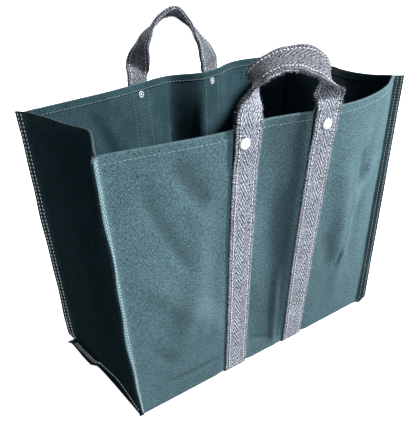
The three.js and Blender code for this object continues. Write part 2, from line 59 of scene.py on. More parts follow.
# Lines of the bag, as shares of its sizes.
FRONT_HEM = ((-1, 0), (-0.5, 0.132), (-0.3, 0.152), (-0.1, 0.166), (0.15, 0.208), (0.45, 0.235),
             (0.75, 0.148), (1, 0))
BACK_HEM = ((-1, 0), (-0.55, 0.04), (-0.2, 0.1), (0.04, 0.145), (0.3, 0.035), (0.62, 0.17),
            (0.86, 0.13), (1, 0))
LEFT_CREASE = ((-1, 0), (-0.8, 0.03), (-0.45, 0.1), (-0.22, 0.13), (0.1, 0.092), (0.55, 0.045), (1, 0))
RIGHT_CREASE = ((-1, 0), (-0.75, 0.075), (-0.4, 0.09), (0, 0.045), (0.5, 0.02), (1, 0))
CREASE_AT_FOOT = 0.2
FOOT_SEAM = ((-1, 0.35), (0.25, 0.42), (0.35, 0.95), (1, 1))

# Upright seams by (side, end): place at the mouth as shares of its length and depth, and the share
# of the seam allowance that is left at the foot.
SEAMS = {
    (-1, -1): (-0.512, -0.527, 0.4), (1, -1): (0.5, -0.488, 1.0),
    (-1, 1): (-0.492, 0.493, 1.0), (1, 1): (0.5, 0.503, 1.0),
}

# Soft folds of the solids: place along and up the panel, lean, width, height, depth.
BROAD_FOLDS = {
    -1: ((-0.62, 0.36, 0.5, 0.09, 0.3, 0.03), (-0.45, 0.62, 0.1, 0.08, 0.26, -0.028),
         (0.0, 0.5, -0.1, 0.1, 0.34, -0.03), (0.16, 0.1, 0.1, 0.035, 0.1, 0.02),
         (0.5, 0.5, -0.3, 0.08, 0.42, 0.032), (0.72, 0.6, -0.1, 0.08, 0.4, -0.034)),
    1: ((-0.6, 0.55, 0.4, 0.1, 0.3, 0.03), (0.05, 0.55, 0.3, 0.09, 0.3, 0.035),
        (0.62, 0.5, -0.2, 0.09, 0.36, -0.03)),
}

# Creases pressed into a panel: from (along, up) to (along, up), width either side and height in
# millimetres. A positive height stands out of the bag. The two of 14 mm are tall folds that the
# solids do not have.
CREASES = {
    "front": (
        (-0.98, 0.62, -0.25, 0.17, 17, 30, 1.9), (-0.67, 0.95, -0.5, 0.74, 12, 16, -1.8),
        (-0.5, 0.42, -0.55, 0.2, 8, 11, 1.0), (-0.86, 0.92, -0.6, 0.5, 9, 14, -1.3),
        (-0.8, 0.1, -0.34, 0.085, 5, 2.4, -1.7),
        (-0.18, 0.08, 0.11, 0.045, 5, 2.4, -1.4), (0.07, 0.42, 0.035, -0.1, 7, 4.5, 3.0),
        (0.82, 0.74, 0.61, 0.48, 5, 17, 4.2), (0.61, 0.5, 0.57, 0.3, 5, 12, 3.6),
        (0.54, 0.36, 0.54, 0.28, 5, 4, -2.2), (0.59, 0.8, 0.745, 0.61, 12, 14, -2.2),
        (0.35, 0.5, 0.45, 0.3, 15, 15, -1.9), (0.66, 0.3, 0.9, 0.12, 14, 10, 1.0),
        (-0.9, 0.3, -0.7, 0.14, 12, 12, -1.1), (-0.19, 1.1, -0.17, -0.1, 5, 58, -14.0),
    ),
    "back": (
        (-0.9, 0.7, -0.45, 0.45, 18, 24, 2.0), (-0.6, 0.95, -0.42, 0.66, 9, 14, 2.6),
        (-0.34, 0.72, -0.2, 0.45, 6, 16, 2.4),
        (0.36, 0.96, 0.34, 0.35, 12, 24, -6.5), (0.07, 0.95, 0.12, 0.15, 6, 42, 14.0),
        (0.14, 0.66, 0.3, 0.6, 5, 16, 4.0), (-0.1, 0.62, 0.12, 0.6, 7, 14, 3.0),
        (0.72, 0.85, 0.6, 0.5, 12, 16, 2.4), (0.3, 0.5, 0.42, 0.2, 14, 14, -1.8),
        (-0.3, 0.4, -0.5, 0.15, 14, 18, 1.8), (-0.8, 0.1, 0.8, 0.07, 5, 2.5, -0.9),
    ),
    "gusset": (
        (-0.2, 0.98, -0.12, 0.5, 9, 9, -1.6), (-0.5, 0.7, 0.2, 0.45, 14, 18, 1.4),
        (0.5, 0.6, 0.15, 0.3, 16, 16, 1.3), (-0.6, 0.3, 0.5, 0.14, 14, 14, -1.2),
    ),
}

# Straps: place of the middle at the front hem, front foot, back foot and back hem, and of the
# front rivet off it.
STRAP_TRACKS = ((-0.485, -0.445, -0.37, -0.245, -0.16), (0.525, 0.525, 0.62, 0.89, 0.0))

# Handles: along, out, up, roll.
HANDLES = {
    -1: ((0.03, 0.0, 0.34, -76), (0.085, 0.0, 0.62, -45), (0.115, 0.0, 0.84, 6), (0.28, 0.02, 0.97, 18),
         (0.5, 0.0, 1.0, 34), (0.76, -0.02, 0.92, 60), (0.96, -0.03, 0.7, 52), (1.02, -0.045, 0.41, 10)),
    1: ((0.06, -0.06, 0.27, -66), (0.19, -0.08, 0.58, -34), (0.34, -0.06, 0.85, -4), (0.51, -0.05, 0.98, 24),
        (0.68, -0.01, 0.86, 28), (0.84, 0.03, 0.6, 0), (0.95, 0.03, 0.3, -46)),
}
# Share of a handle over which its legs' own direction fades out.
HANDLE_BLEND = 0.16
# Factor on the heights of the panels' creases. The gussets' creases stay as they are given.
CREASE_DEPTH = 1.35
# Roll at which the webbing lies flat along the hem.
FLAT_ROLL = -90

# Fixed construction sizes, in millimetres.
GAP = 0.3
STRAP_SAG = 16
LINER_DROP = 27
LINER_STEP = 30
HANDLE_LIFT = 8
HEM_EASE = 0.5
RIVET_DROP = 17
FLANGE_TRIM = 70
FOOT_RADIUS = 4.5
HEM_STITCHES = 1.6  # height of the hem's stitch row above the hem's lower edge

# Places across a seam allowance, as shares of its width, and those of its two stitch rows.
FLANGE_SHARES = (0.12, 0.3, 0.5, 0.7, 0.86, 1.0)
STITCH_SHARES = (0.42, 0.78)

# Angles round a hem's fold at which it has a row of points.
FOLD_ANGLES = (35, 70, 110, 145)

# Fineness of the grids.
PANEL_ROWS, BASE_ROWS, GUSSET_COLUMNS = 96, 26, 61
LEG_ROWS, HANDLE_ROWS, STRAP_BASE_ROWS = 92, 118, 28
OPEN_COLUMNS, SPACE_COLUMNS, EDGE_COLUMNS, STRAP_COLUMNS = 46, 14, 4, 5

# The camera's place in metres and its azimuth, elevation and roll in radians, as fitted.
CAMERA_PLACE = (-0.4927, -0.6766, 0.6014)
CAMERA_ANGLES = (-0.596, 0.4434, -0.06)


def smooth_line(pairs, at):
    """Value at places along a given line, smooth through its points."""
    keys = np.array([pair[0] for pair in pairs], float)
    values = np.array([pair[1] for pair in pairs], float)
    low = np.maximum(np.arange(len(keys)) - 1, 0)
    high = np.minimum(np.arange(len(keys)) + 1, len(keys) - 1)
    slopes = (values[high] - values[low]) / (keys[high] - keys[low])
    at = np.asarray(at, float)
    i = np.searchsorted(keys[1:-1], at, side="left")
    run = keys[i + 1] - keys[i]
    t = np.clip((at - keys[i]) / run, 0, 1)
    s = t * t * (3 - 2 * t)
    lead = slopes[i] * run * t * (1 - t) ** 2
    tail = slopes[i + 1] * run * t * t * (1 - t)
    return values[i] * (1 - s) + values[i + 1] * s + lead - tail


def step(value, low, high):
    """Smooth step from 0 at low to 1 at high."""
    t = np.clip((np.asarray(value, float) - low) / (high - low), 0, 1)
    return t * t * (3 - 2 * t)


def unit(vectors):
    """The vectors at length 1."""
    return vectors / np.maximum(np.linalg.norm(vectors, axis=-1, keepdims=True), 1e-9)


def mix(a, b, t):
    """What lies between a and b at the share t."""
    return a * (1 - t) + b * t


def crumple(places, size, octaves=3):
    """Cloud noise at places in millimetres, about -1 to 1 and the same each run."""
    flat = places.reshape(-1, 3) / size
    values = np.zeros(len(flat))
    for k, place in enumerate(flat):
        values[k] = noise.fractal(Vector(place), 0.9, 2.1, octaves, noise_basis="PERLIN_ORIGINAL")
    return values.reshape(places.shape[:-1])


def pressed(creases, along, up, length, height):
    """Height of the pressed creases at places on a panel, in millimetres."""
    total = np.zeros(np.broadcast(along, up).shape)
    x = along * length / 2
    z = up * height
    for a0, u0, a1, u1, before, after, tall in creases:
        start = np.array([a0 * length / 2, u0 * height])
        run = np.array([a1 * length / 2, u1 * height]) - start
        reach = np.hypot(*run)
        run = run / reach
        dx, dz = x - start[0], z - start[1]
        t = (dx * run[0] + dz * run[1]) / reach
        off = dz * run[0] - dx * run[1] + 3.0 * np.sin(4.0 * t + a0 * 7)
        width = np.where(off < 0, before, after)
        ends = step(t, -0.12, 0.3) * (1 - step(t, 0.7, 1.12))
        total = total + tall * np.exp(-(off / width) ** 2) * ends
    return total


class Surface:
    """A sheet of cloth as a grid: middle points, outward normals, threads' places, and a mark of wear and
    painted shade.
    """

    def __init__(self, middle, outer, inner, threads, wear, arcs=(False, False)):
        self.middle, self.outer, self.inner = middle, outer, inner
        self.threads, self.wear, self.arcs = threads, wear, arcs
        down = np.gradient(middle, axis=0)
        across = np.gradient(middle, axis=1)
        self.normal = unit(np.cross(down, across))

    def turned(self):
        """The same surface with its normals on the other side."""
        self.normal = -self.normal
        return self

    def face(self, outside=True):
        """Points of the cloth's outer or inner face."""
        if outside:
            return self.middle + self.normal * self.outer[..., None]
        return self.middle - self.normal * self.inner[..., None]

    def trace(self, rows, columns, outside=True):
        """Points and normals of a line over the face, at fractional rows and columns."""
        rows, columns = np.broadcast_arrays(np.asarray(rows, float), np.asarray(columns, float))
        r = np.clip(np.floor(rows).astype(int), 0, self.middle.shape[0] - 2)
        c = np.clip(np.floor(columns).astype(int), 0, self.middle.shape[1] - 2)
        fr, fc = (rows - r)[:, None], (columns - c)[:, None]
        out = []
        for grid in (self.face(outside), self.normal if outside else -self.normal):
            top = mix(grid[r, c], grid[r, c + 1], fc)
            bottom = mix(grid[r + 1, c], grid[r + 1, c + 1], fc)
            out.append(mix(top, bottom, fr))
        return out[0], unit(out[1])


class BagShape:
    """The middle surfaces of the canvas and the lines of the webbing, in millimetres."""

    def __init__(self, scene):
        canvas, webbing = scene.bag_canvas, scene.bag_webbing
        self.base_length = canvas.base_length / MM
        self.base_depth = canvas.base_depth / MM
        self.base_shift = canvas.base_shift / MM
        self.mouth_length = canvas.mouth_length / MM
        self.mouth_depth = canvas.mouth_depth / MM
        self.mouth_shift = canvas.mouth_shift / MM
        self.height = canvas.height / MM
        self.canvas = canvas.thickness / MM
        self.hem = canvas.hem_height / MM
        self.flange_width = canvas.flange / MM
        self.foot_flange = canvas.foot_flange / MM
        self.width = webbing.width / MM
        self.webbing = webbing.thickness / MM
        self.spacing = webbing.spacing / MM
        self.rise = {-1: webbing.front_rise / MM, 1: webbing.back_rise / MM}
        self.drops = self._drops()
        self.stops = self._columns()

    def _drops(self):
        """Distances of a panel's rows below its hem."""
        hem = [0, 1.2, 3, 5.5, 8, self.hem - 0.8, self.hem, self.hem + 0.8, self.hem + 2.2]
        rest = np.linspace(self.hem + 5.5, self.height - FOOT_RADIUS, PANEL_ROWS)
        return np.concatenate([hem, rest])

    def row_of(self, drop):
        """Row of a panel's grid, with its fraction, at a distance below the hem."""
        return float(np.interp(drop, self.drops, np.arange(len(self.drops))))

    def seam_ends(self, side, end):
        """Places of an upright seam at the mouth and at the foot."""
        x, y, _ = SEAMS[(side, end)]
        mouth = np.array([self.mouth_shift + x * self.mouth_length, y * self.mouth_depth])
        foot = np.array([self.base_shift + side * self.base_length / 2, end * self.base_depth / 2])
        return mouth, foot

    def _columns(self):
        """Places of the body's columns at the front hem, front foot, back foot and back hem."""
        floor, on_strap = self.canvas / 2, self.webbing + GAP + self.canvas / 2

        def corner(side):
            front, back = self.seam_ends(side, -1), self.seam_ends(side, 1)
            return (front[0][0], front[1][0], back[1][0], back[0][0], floor)

        edge = self.width / 2
        stops, counts = [corner(-1)], []
        for k, track in enumerate(STRAP_TRACKS):
            before = SPACE_COLUMNS if k else OPEN_COLUMNS
            counts += [before, EDGE_COLUMNS, STRAP_COLUMNS, STRAP_COLUMNS, EDGE_COLUMNS]
            for shift, rest in ((-edge - STRAP_SAG, floor), (-edge, on_strap), (0, on_strap),
                                (edge, on_strap), (edge + STRAP_SAG, floor)):
                stops.append(tuple(place * self.spacing + shift for place in track[:4]) + (rest,))
        counts.append(OPEN_COLUMNS)
        stops.append(corner(1))
        columns = [np.array(stops[0])]
        self.strap_columns = []
        for k, count in enumerate(counts):
            if k % 5 == 2:
                first = len(columns) - 1
                self.strap_columns.append((first, first + STRAP_COLUMNS, first + 2 * STRAP_COLUMNS))
            for i in range(1, count + 1):
                columns.append(mix(np.array(stops[k]), np.array(stops[k + 1]), i / count))
        return np.array(columns)

    def panel(self, end, high, columns=None, sculpted=True):
        """Middle of the front (end -1) or back (end 1) canvas at heights given as shares."""
        stops = self.stops if columns is None else columns
        hem, foot = (stops[:, 0], stops[:, 1]) if end < 0 else (stops[:, 3], stops[:, 2])
        left, right = self.seam_ends(-1, end)[0], self.seam_ends(1, end)[0]
        share = (hem - left[0]) / (right[0] - left[0])
        at = 2 * share - 1
        bow = smooth_line(FRONT_HEM if end < 0 else BACK_HEM, at) * self.mouth_depth
        hem_y = mix(left[1], right[1], share) + end * bow
        high = np.asarray(high, float)[:, None]
        folds = np.zeros((len(high), len(at)))
        for place, up, lean, wide, tall, out in BROAD_FOLDS[end]:
            across = (at - place - lean * (high - up)) / wide
            folds = folds + out * np.exp(-across ** 2 - ((high - up) / tall) ** 2)
        fade = (1 - at ** 8) * np.sin(math.pi * np.clip(high, 0, 1))
        y = mix(end * self.base_depth / 2, hem_y, high) + end * folds * self.mouth_depth * fade
        points = np.stack([mix(foot, hem, high), y, mix(stops[:, 4], self.height, high)], axis=-1)
        if sculpted:
            free = 1 - np.abs(at) ** 10
            for left_edge, _, right_edge in self.strap_columns:
                index = np.arange(len(at))
                near = np.minimum(np.abs(index - left_edge), np.abs(index - right_edge))
                inside = (index >= left_edge) & (index <= right_edge)
                free = free * np.where(inside, 0, step(near, 0, 4))
            creases = CREASES["front" if end < 0 else "back"]
            crease = pressed(creases, at, high, self.mouth_length, self.height) * CREASE_DEPTH
            free = free * step(high, 0.0, 0.06)
            self.crease = crease * free
            rumple = 1.1 * crumple(points, 70.0) + 0.22 * crumple(points + 500.0, 19.0, 2)
            points[..., 1] += end * (self.crease + rumple * free)
        for left_edge, _, right_edge in self.strap_columns:
            span = np.linspace(0, 1, right_edge - left_edge + 1)[None, :, None]
            points[:, left_edge:right_edge + 1] = mix(
                points[:, left_edge:left_edge + 1], points[:, right_edge:right_edge + 1], span)
        return points

    def flange(self, side, end, height, share):
        """Step from an upright seam to a place on its allowance, with its slow waves."""
        wide = self.flange_width * mix(SEAMS[(side, end)][2], 1.0, np.minimum(height / FLANGE_TRIM, 1.0))
        wide = wide * mix(0.5, 1.0, step(height, 0, 16))
        wave = 1.3 * np.sin(height / 33.0 + side + 2 * end) + 0.8 * np.sin(height / 14.0 + 2 * side)
        wave = wave * step(height, 0, 60) * step(self.height - height, -5, 40) * share ** 1.5
        pucker = 0.6 * np.sin(2 * math.pi * share)
        out = np.array([side, end, 0]) / math.sqrt(2)
        aside = np.array([side, -end, 0]) / math.sqrt(2)
        return out * (wide * share)[..., None] + aside * (wave + pucker)[..., None]

    def with_flanges(self, points, heights, *seams):
        """Adds the allowances of two upright seams, given as (side, end), to a panel's grid."""
        left, right = (
            [points[:, edge] + self.flange(*seam, heights, np.full(len(heights), share))
             for share in FLANGE_SHARES]
            for edge, seam in zip((0, -1), seams))
        return np.concatenate([np.stack(left[::-1], 1), points, np.stack(right, 1)], axis=1)

    def foot_allowance(self, y):
        """Width of the allowance at a gusset's foot, at places along the depth."""
        return self.foot_flange * smooth_line(FOOT_SEAM, y / (self.base_depth / 2))

    def body(self):
        """The canvas from the front hem under the base to the back hem."""
        high = 1 - self.drops / self.height
        bend = np.linspace(0, 1, 6)[1:-1]
        lifts, panels = [], {}
        for end in (-1, 1):
            upper = self.panel(end, high)
            lifts.append(self.crease)
            foot = self.panel(end, [0.0], sculpted=False)
            panels[end] = (upper, foot[0])
        shares = np.linspace(0, 1, BASE_ROWS)
        ys = mix(-self.base_depth / 2 + FOOT_RADIUS, self.base_depth / 2 - FOOT_RADIUS, shares)
        base = np.stack([
            mix(self.stops[:, 1], self.stops[:, 2], shares[:, None]),
            np.repeat(ys[:, None], len(self.stops), 1),
            np.repeat(self.stops[None, :, 4], len(ys), 0)], axis=-1)
        parts = []
        for end, base_row in ((-1, base[0]), (1, base[-1])):
            upper, foot = panels[end]
            arc = np.stack([upper[-1] * (1 - t) ** 2 + foot * 2 * t * (1 - t) + base_row * t * t
                            for t in bend])
            whole = np.concatenate([upper, arc])
            heights = np.concatenate([self.height - self.drops, np.maximum(arc[:, 0, 2], 0)])
            parts.append(self.with_flanges(whole, heights, (-1, end), (1, end)))
        reach = np.stack([self.foot_allowance(ys), 0 * ys, 0 * ys], -1)
        left = np.stack([base[:, 0] - reach * share for share in FLANGE_SHARES[::-1]], 1)
        right = np.stack([base[:, -1] + reach * share for share in FLANGE_SHARES], 1)
        middle = np.concatenate([parts[0], np.concatenate([left, base, right], 1), parts[1][::-1]])
        level = np.zeros((len(base) + 2 * len(bend), len(self.stops)))
        lift = np.concatenate([lifts[0], level, lifts[1][::-1]])
        return self._cloth(middle, lift, self.drops, (True, True))

    def _cloth(self, middle, lift, drops, arcs):
        """Softens the seams' bends and adds thickness, hem, thread places, and a mark that is pale wear where
        positive and painted shade where negative.
        """
        n = len(FLANGE_SHARES)
        for c in (n, middle.shape[1] - 1 - n):
            middle[:, c] = 0.25 * middle[:, c - 1] + 0.5 * middle[:, c] + 0.25 * middle[:, c + 1]
        rows, columns = middle.shape[:2]
        hem = np.zeros(rows)
        hem[:len(drops)] = 1 - step(drops, self.hem - 0.9, self.hem + 0.9)
        if arcs[1]:
            hem[-len(drops):] = hem[:len(drops)][::-1]
        panel = np.zeros(columns)
        panel[n + 1:columns - n - 1] = 1
        folded = hem[:, None] * panel[None, :]
        outer = np.full((rows, columns), self.canvas / 2)
        inner = self.canvas / 2 + self.canvas * folded
        across = np.linalg.norm(np.diff(middle, axis=1), axis=-1)
        s = np.concatenate([np.zeros((rows, 1)), np.cumsum(across, 1)], 1)
        s = s - s[:, columns // 2][:, None]
        down = np.linalg.norm(np.diff(middle[:, columns // 2], axis=0), axis=-1)
        t = np.concatenate([[0], np.cumsum(down)])
        threads = np.stack([s, np.repeat(t[:, None], columns, 1)], -1)
        # Mark of wear and painted shade: raised creases are pale with wear, pressed-in creases get painted
        # shade, raw edges and the hem's edge are pale with wear.
        wear = np.zeros((rows, columns))
        worn = lift / 3.0
        wear[:, n:columns - n] = np.clip(1.4 * worn / (1 + (worn / 1.2) ** 2), -1, 1)
        wear[:, [0, -1]] = 0.9
        wear[0, n:columns - n] = 0.8
        if arcs[1]:
            wear[:len(drops), :n] = 0.7
            # Painted shade on the right front seam allowance.
            wear[:len(drops), columns - n:] = -1
            wear[-1, n:columns - n] = 0.8
        return Surface(middle, outer, inner, threads, wear, arcs)

    def gusset(self, side):
        """A side panel with its hem, its flanges and the allowance at its foot."""
        seam = self.canvas + GAP
        high = np.concatenate([1 - self.drops / self.height, [0.0]])
        edges = {}
        for end in (-1, 1):
            mouth, foot = self.seam_ends(side, end)
            x = mix(foot[0], mouth[0], high)
            y = mix(foot[1], mouth[1], high)
            z = mix(self.canvas / 2, self.height, high)
            push = np.array([side, -end, 0]) / math.sqrt(2) * seam
            edges[end] = np.stack([x, y, z], -1) + push
        share = np.linspace(0, 1, GUSSET_COLUMNS)
        crease = smooth_line(LEFT_CREASE if side < 0 else RIGHT_CREASE, 2 * share - 1) * self.mouth_depth
        push = crease[None, :] * mix(CREASE_AT_FOOT, 1.0, high)[:, None]
        points = mix(edges[-1][:, None], edges[1][:, None], share[None, :, None])
        points[..., 0] -= side * push
        points[-1, :, 2] += seam
        at = (2 * share - 1)[None, :]
        free = (1 - np.abs(at) ** 8) * step(high, 0.0, 0.08)[:, None]
        lift = pressed(CREASES["gusset"], at, high[:, None], self.mouth_depth, self.height) * free
        rumple = 1.0 * crumple(points, 60.0) + 0.25 * crumple(points + 900.0, 16.0, 2)
        points[..., 0] += side * (lift + rumple * free)
        whole = self.with_flanges(points, self.height * high, (side, -1), (side, 1))
        reach = self.foot_allowance(np.clip(whole[-1, :, 1], -self.base_depth / 2, self.base_depth / 2))
        foot_rows = np.repeat(whole[-1:], len(FLANGE_SHARES), axis=0)
        for row, part in zip(foot_rows, FLANGE_SHARES):
            row[:, 0] += side * reach * part
        lifted = np.concatenate([lift, np.zeros((len(foot_rows), lift.shape[1]))])
        surface = self._cloth(np.concatenate([whole, foot_rows]), lifted, self.drops, (True, False))
        return surface if side > 0 else surface.turned()

    def leg(self, end, track, drops):
        """Middle points and width directions of a strap's leg, from the hem down."""
        left, middle, right = self.strap_columns[track]
        high = 1 - np.asarray(drops, float) / self.height
        grid = self.panel(end, high)
        centre = grid[:, middle]
        width = unit(grid[:, right] - grid[:, left])
        down = unit(np.gradient(centre, axis=0))
        out = unit(np.cross(width, down))
        out = out * np.sign(out[:, 1] * end)[:, None]
        doubled = 1 - step(drops, LINER_DROP - 1, LINER_DROP + LINER_STEP)
        away = self.canvas / 2 + GAP + self.webbing / 2 + doubled * (self.webbing + GAP)
        away = away + HEM_EASE * (1 - step(drops, 0, self.hem))
        return centre + out * away[:, None], width

    def strap(self, end):
        """The webbing of a panel: middle points, width directions, outward directions and lengths."""
        drops = np.concatenate([np.linspace(0, 44, 16), np.linspace(48, self.height - FOOT_RADIUS, LEG_ROWS)])
        legs = []
        for track, turn in zip((0, 1) if end < 0 else (1, 0), (end, -end)):
            centre, width = self.leg(end, track, drops)
            legs.append((centre, width * turn))
        (c0, w0), (c1, w1) = legs
        ends = (c0[0], c1[0])
        across = ends[1] - ends[0]
        across[2] = 0
        span = np.linalg.norm(across)
        across = across / span
        outwards = np.array([across[1], -across[0], 0])
        rise = self.rise[end]
        place = [ends[0] + across * a * span + outwards * o * rise + np.array([0, 0, u * rise])
                 for a, o, u, _ in HANDLES[end]]
        hems = [np.array([np.interp(self.hem, drops, c[:, i]) for i in range(3)]) for c in (c0, c1)]
        lifted = [c[0] + unit(c[0] - h) * HANDLE_LIFT for c, h in ((c0, hems[0]), (c1, hems[1]))]
        route = [hems[0], ends[0], lifted[0], *place, lifted[1], ends[1], hems[1]]
        rolls = [FLAT_ROLL] * 3 + [row[3] for row in HANDLES[end]] + [FLAT_ROLL] * 3
        pieces = len(route) - 1
        t = np.linspace(1, pieces - 1, HANDLE_ROWS)[1:-1]
        centre, run = spline(np.array(route), t)
        share = (t - 2) / (pieces - 4)
        i = np.minimum(np.floor(t).astype(int), pieces - 1)
        s = step(t - i, 0, 1)
        roll = np.radians(mix(np.array(rolls)[i], np.array(rolls)[i + 1], s))[:, None]
        out = unit(outwards - run * (run @ outwards)[:, None])
        aside = np.cross(run, out)
        width = out * np.cos(roll) + aside * np.sin(roll)
        near = np.clip(np.minimum(share, 1 - share) / HANDLE_BLEND, 0, 1)[:, None]
        own = np.where((share < 0.5)[:, None], w0[0], w1[0])
        own = unit(own - run * np.sum(own * run, 1, keepdims=True))
        width = unit(mix(own, width, near * near * (3 - 2 * near)))
        return self._joined(end, *legs, centre, width)

    def _joined(self, end, first, second, centre, width):
        """Joins base, leg, handle, leg and base into one run of webbing."""
        centres, widths = [first[0][::-1], centre, second[0]], [first[1][::-1], width, second[1]]
        base_parts = []
        for (c, w), track in ((first, 0 if end < 0 else 1), (second, 1 if end < 0 else 0)):
            foot_x = STRAP_TRACKS[track][1 if end < 0 else 2] * self.spacing
            far_x = STRAP_TRACKS[track][2 if end < 0 else 1] * self.spacing
            ys = np.linspace(end * (self.base_depth / 2 - FOOT_RADIUS), end * GAP / 2, STRAP_BASE_ROWS)
            share = 0.5 - np.abs(ys) / self.base_depth
            x = mix(foot_x, far_x, share)
            flat = np.stack([x, ys, np.full(len(ys), self.webbing / 2)], -1)
            corner = np.array([foot_x, c[-1, 1], self.webbing / 2])
            bend = np.linspace(0, 1, 7)[1:-1, None]
            arc = c[-1] * (1 - bend) ** 2 + corner * 2 * bend * (1 - bend) + flat[0] * bend * bend
            path = np.concatenate([arc, flat])
            side = np.tile(w[-1] * np.array([1, 1, 0]), (len(path), 1))
            base_parts.append((path, unit(side)))
        centres = [base_parts[0][0][::-1]] + centres + [base_parts[1][0]]
        widths = [base_parts[0][1][::-1]] + widths + [base_parts[1][1]]
        middle, across = np.concatenate(centres), unit(np.concatenate(widths))
        down = unit(np.gradient(middle, axis=0))
        across = unit(across - down * np.sum(across * down, 1, keepdims=True))
        out = unit(np.cross(down, across))
        below = len(base_parts[0][0])
        hem_rows = (below + len(first[0]) - 1, len(middle) - len(base_parts[1][0]) - len(second[0]))
        probe = below + len(first[0]) // 2
        if out[probe, 1] * end < 0:
            out = -out
        length = np.concatenate([[0], np.cumsum(np.linalg.norm(np.diff(middle, axis=0), axis=1))])
        return Strap(middle, across, out, length, hem_rows, self.width, self.webbing)

    def rivets(self):
        """Name, place on the middle of the canvas and outward direction of each rivet."""
        places = []
        for end, name in ((-1, "front"), (1, "back")):
            for track, hand in ((0, "left"), (1, "right")):
                left, middle, right = self.strap_columns[track]
                drops = np.array([RIVET_DROP - 3.0, RIVET_DROP, RIVET_DROP + 3.0])
                grid = self.panel(end, 1 - drops / self.height)
                place = grid[1, middle].copy()
                across = grid[1, right] - grid[1, left]
                if end < 0:
                    place += across * STRAP_TRACKS[track][4]
                way = unit(np.cross(grid[2, middle] - grid[0, middle], across))
                places.append((f"{name}_{hand}", place, way * np.sign(way[1] * end)))
        return places


def spline(route, t):
    """Points and run directions of a smooth line through the route, at piece numbers t."""
    route = np.vstack([2 * route[0] - route[1], route, 2 * route[-1] - route[-2]])
    i = np.minimum(np.floor(t).astype(int), len(route) - 4)
    s = (t - i)[:, None]
    p0, p1, p2, p3 = (route[i + k] for k in range(4))
    m1, m2 = (p2 - p0) / 2, (p3 - p1) / 2
    a = 2 * p1 - 2 * p2 + m1 + m2
    b = -3 * p1 + 3 * p2 - 2 * m1 - m2
    return ((a * s + b) * s + m1) * s + p1, unit((3 * a * s + 2 * b) * s + m1)


class Strap:
    """A run of webbing: middle line, width and outward directions, and lengths."""

    def __init__(self, middle, across, out, length, hem_rows, width, thick):
        self.middle, self.across, self.out, self.length = middle, across, out, length
        self.hem_rows, self.width, self.thick = hem_rows, width, thick

    def section(self):
        """Outline of the webbing: ribbed selvedges and a flat middle, as (across, out) pairs."""
        half, deep = self.width / 2, self.thick / 2
        right = np.array([0.35, 0.6, 0.74, 0.79, 0.84, 0.9, 0.95, 0.985, 1])
        a = np.concatenate([-right[::-1], [0], right])
        wide = np.abs(a)
        groove = 0.16 * np.exp(-((wide - 0.79) / 0.05) ** 2)
        rib = 1 - groove - np.where(wide > 0.94, 1, 0) * ((wide - 0.94) / 0.06) ** 2 * 0.65
        top = np.stack([a * half, rib * deep], -1)
        return np.concatenate([top, np.stack([a[::-1] * half, -rib[::-1] * deep], -1)])

    def part(self, start, stop, inward=0.0, aside=None):
        """A stretch of the run, moved in by a distance, as a strap of its own."""
        rows = slice(start, stop)
        middle = self.middle[rows] - self.out[rows] * inward
        if aside is not None:
            middle = middle + self.across[rows] * aside[:, None]
        return Strap(middle, self.across[rows], self.out[rows], self.length[rows], (0, 0),
                     self.width, self.thick)

    def line(self, aside, outside=True):
        """Points and normals of a line along one face, at a distance off the middle."""
        side = 1 if outside else -1
        lift = self.thick / 2 * 0.86
        return self.middle + self.across * aside + self.out * side * lift, self.out * side


def new_object(name, vertices, faces, material, uv=None, marks=None, sharp=None):
    """A closed object from points in drawing millimetres, riding on the bag, its faces turned outwards."""
    mesh = bpy.data.meshes.new(name)
    points = (np.asarray(vertices, float) + DRAWING_SHIFT) * MM
    loops = np.concatenate([np.asarray(face) for face in faces])
    totals = np.array([len(face) for face in faces])
    mesh.vertices.add(len(points))
    mesh.vertices.foreach_set("co", points.ravel())
    mesh.loops.add(len(loops))
    mesh.loops.foreach_set("vertex_index", loops.astype(np.int32))
    mesh.polygons.add(len(totals))
    mesh.polygons.foreach_set("loop_start", np.concatenate([[0], np.cumsum(totals)[:-1]]).astype(np.int32))
    if uv is not None:
        layer = mesh.uv_layers.new(name="Threads")
        layer.data.foreach_set("uv", (np.asarray(uv)[loops] * MM).ravel())
    for mark, values in (marks or {}).items():
        attribute = mesh.attributes.new(mark, "FLOAT", "POINT")
        attribute.data.foreach_set("value", np.asarray(values, float).ravel())
    mesh.update(calc_edges=True)
    mesh.validate()
    mesh.shade_smooth()
    if sharp is not None:
        mesh.set_sharp_from_angle(angle=math.radians(sharp))
    mesh.materials.append(material)
    obj = bpy.data.objects.new(name, mesh)
    bpy.context.scene.collection.objects.link(obj)
    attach(obj, "root")
    turned = bmesh.new()
    turned.from_mesh(mesh)
    bmesh.ops.recalc_face_normals(turned, faces=turned.faces)
    turned.to_mesh(mesh)
    turned.free()
    return obj


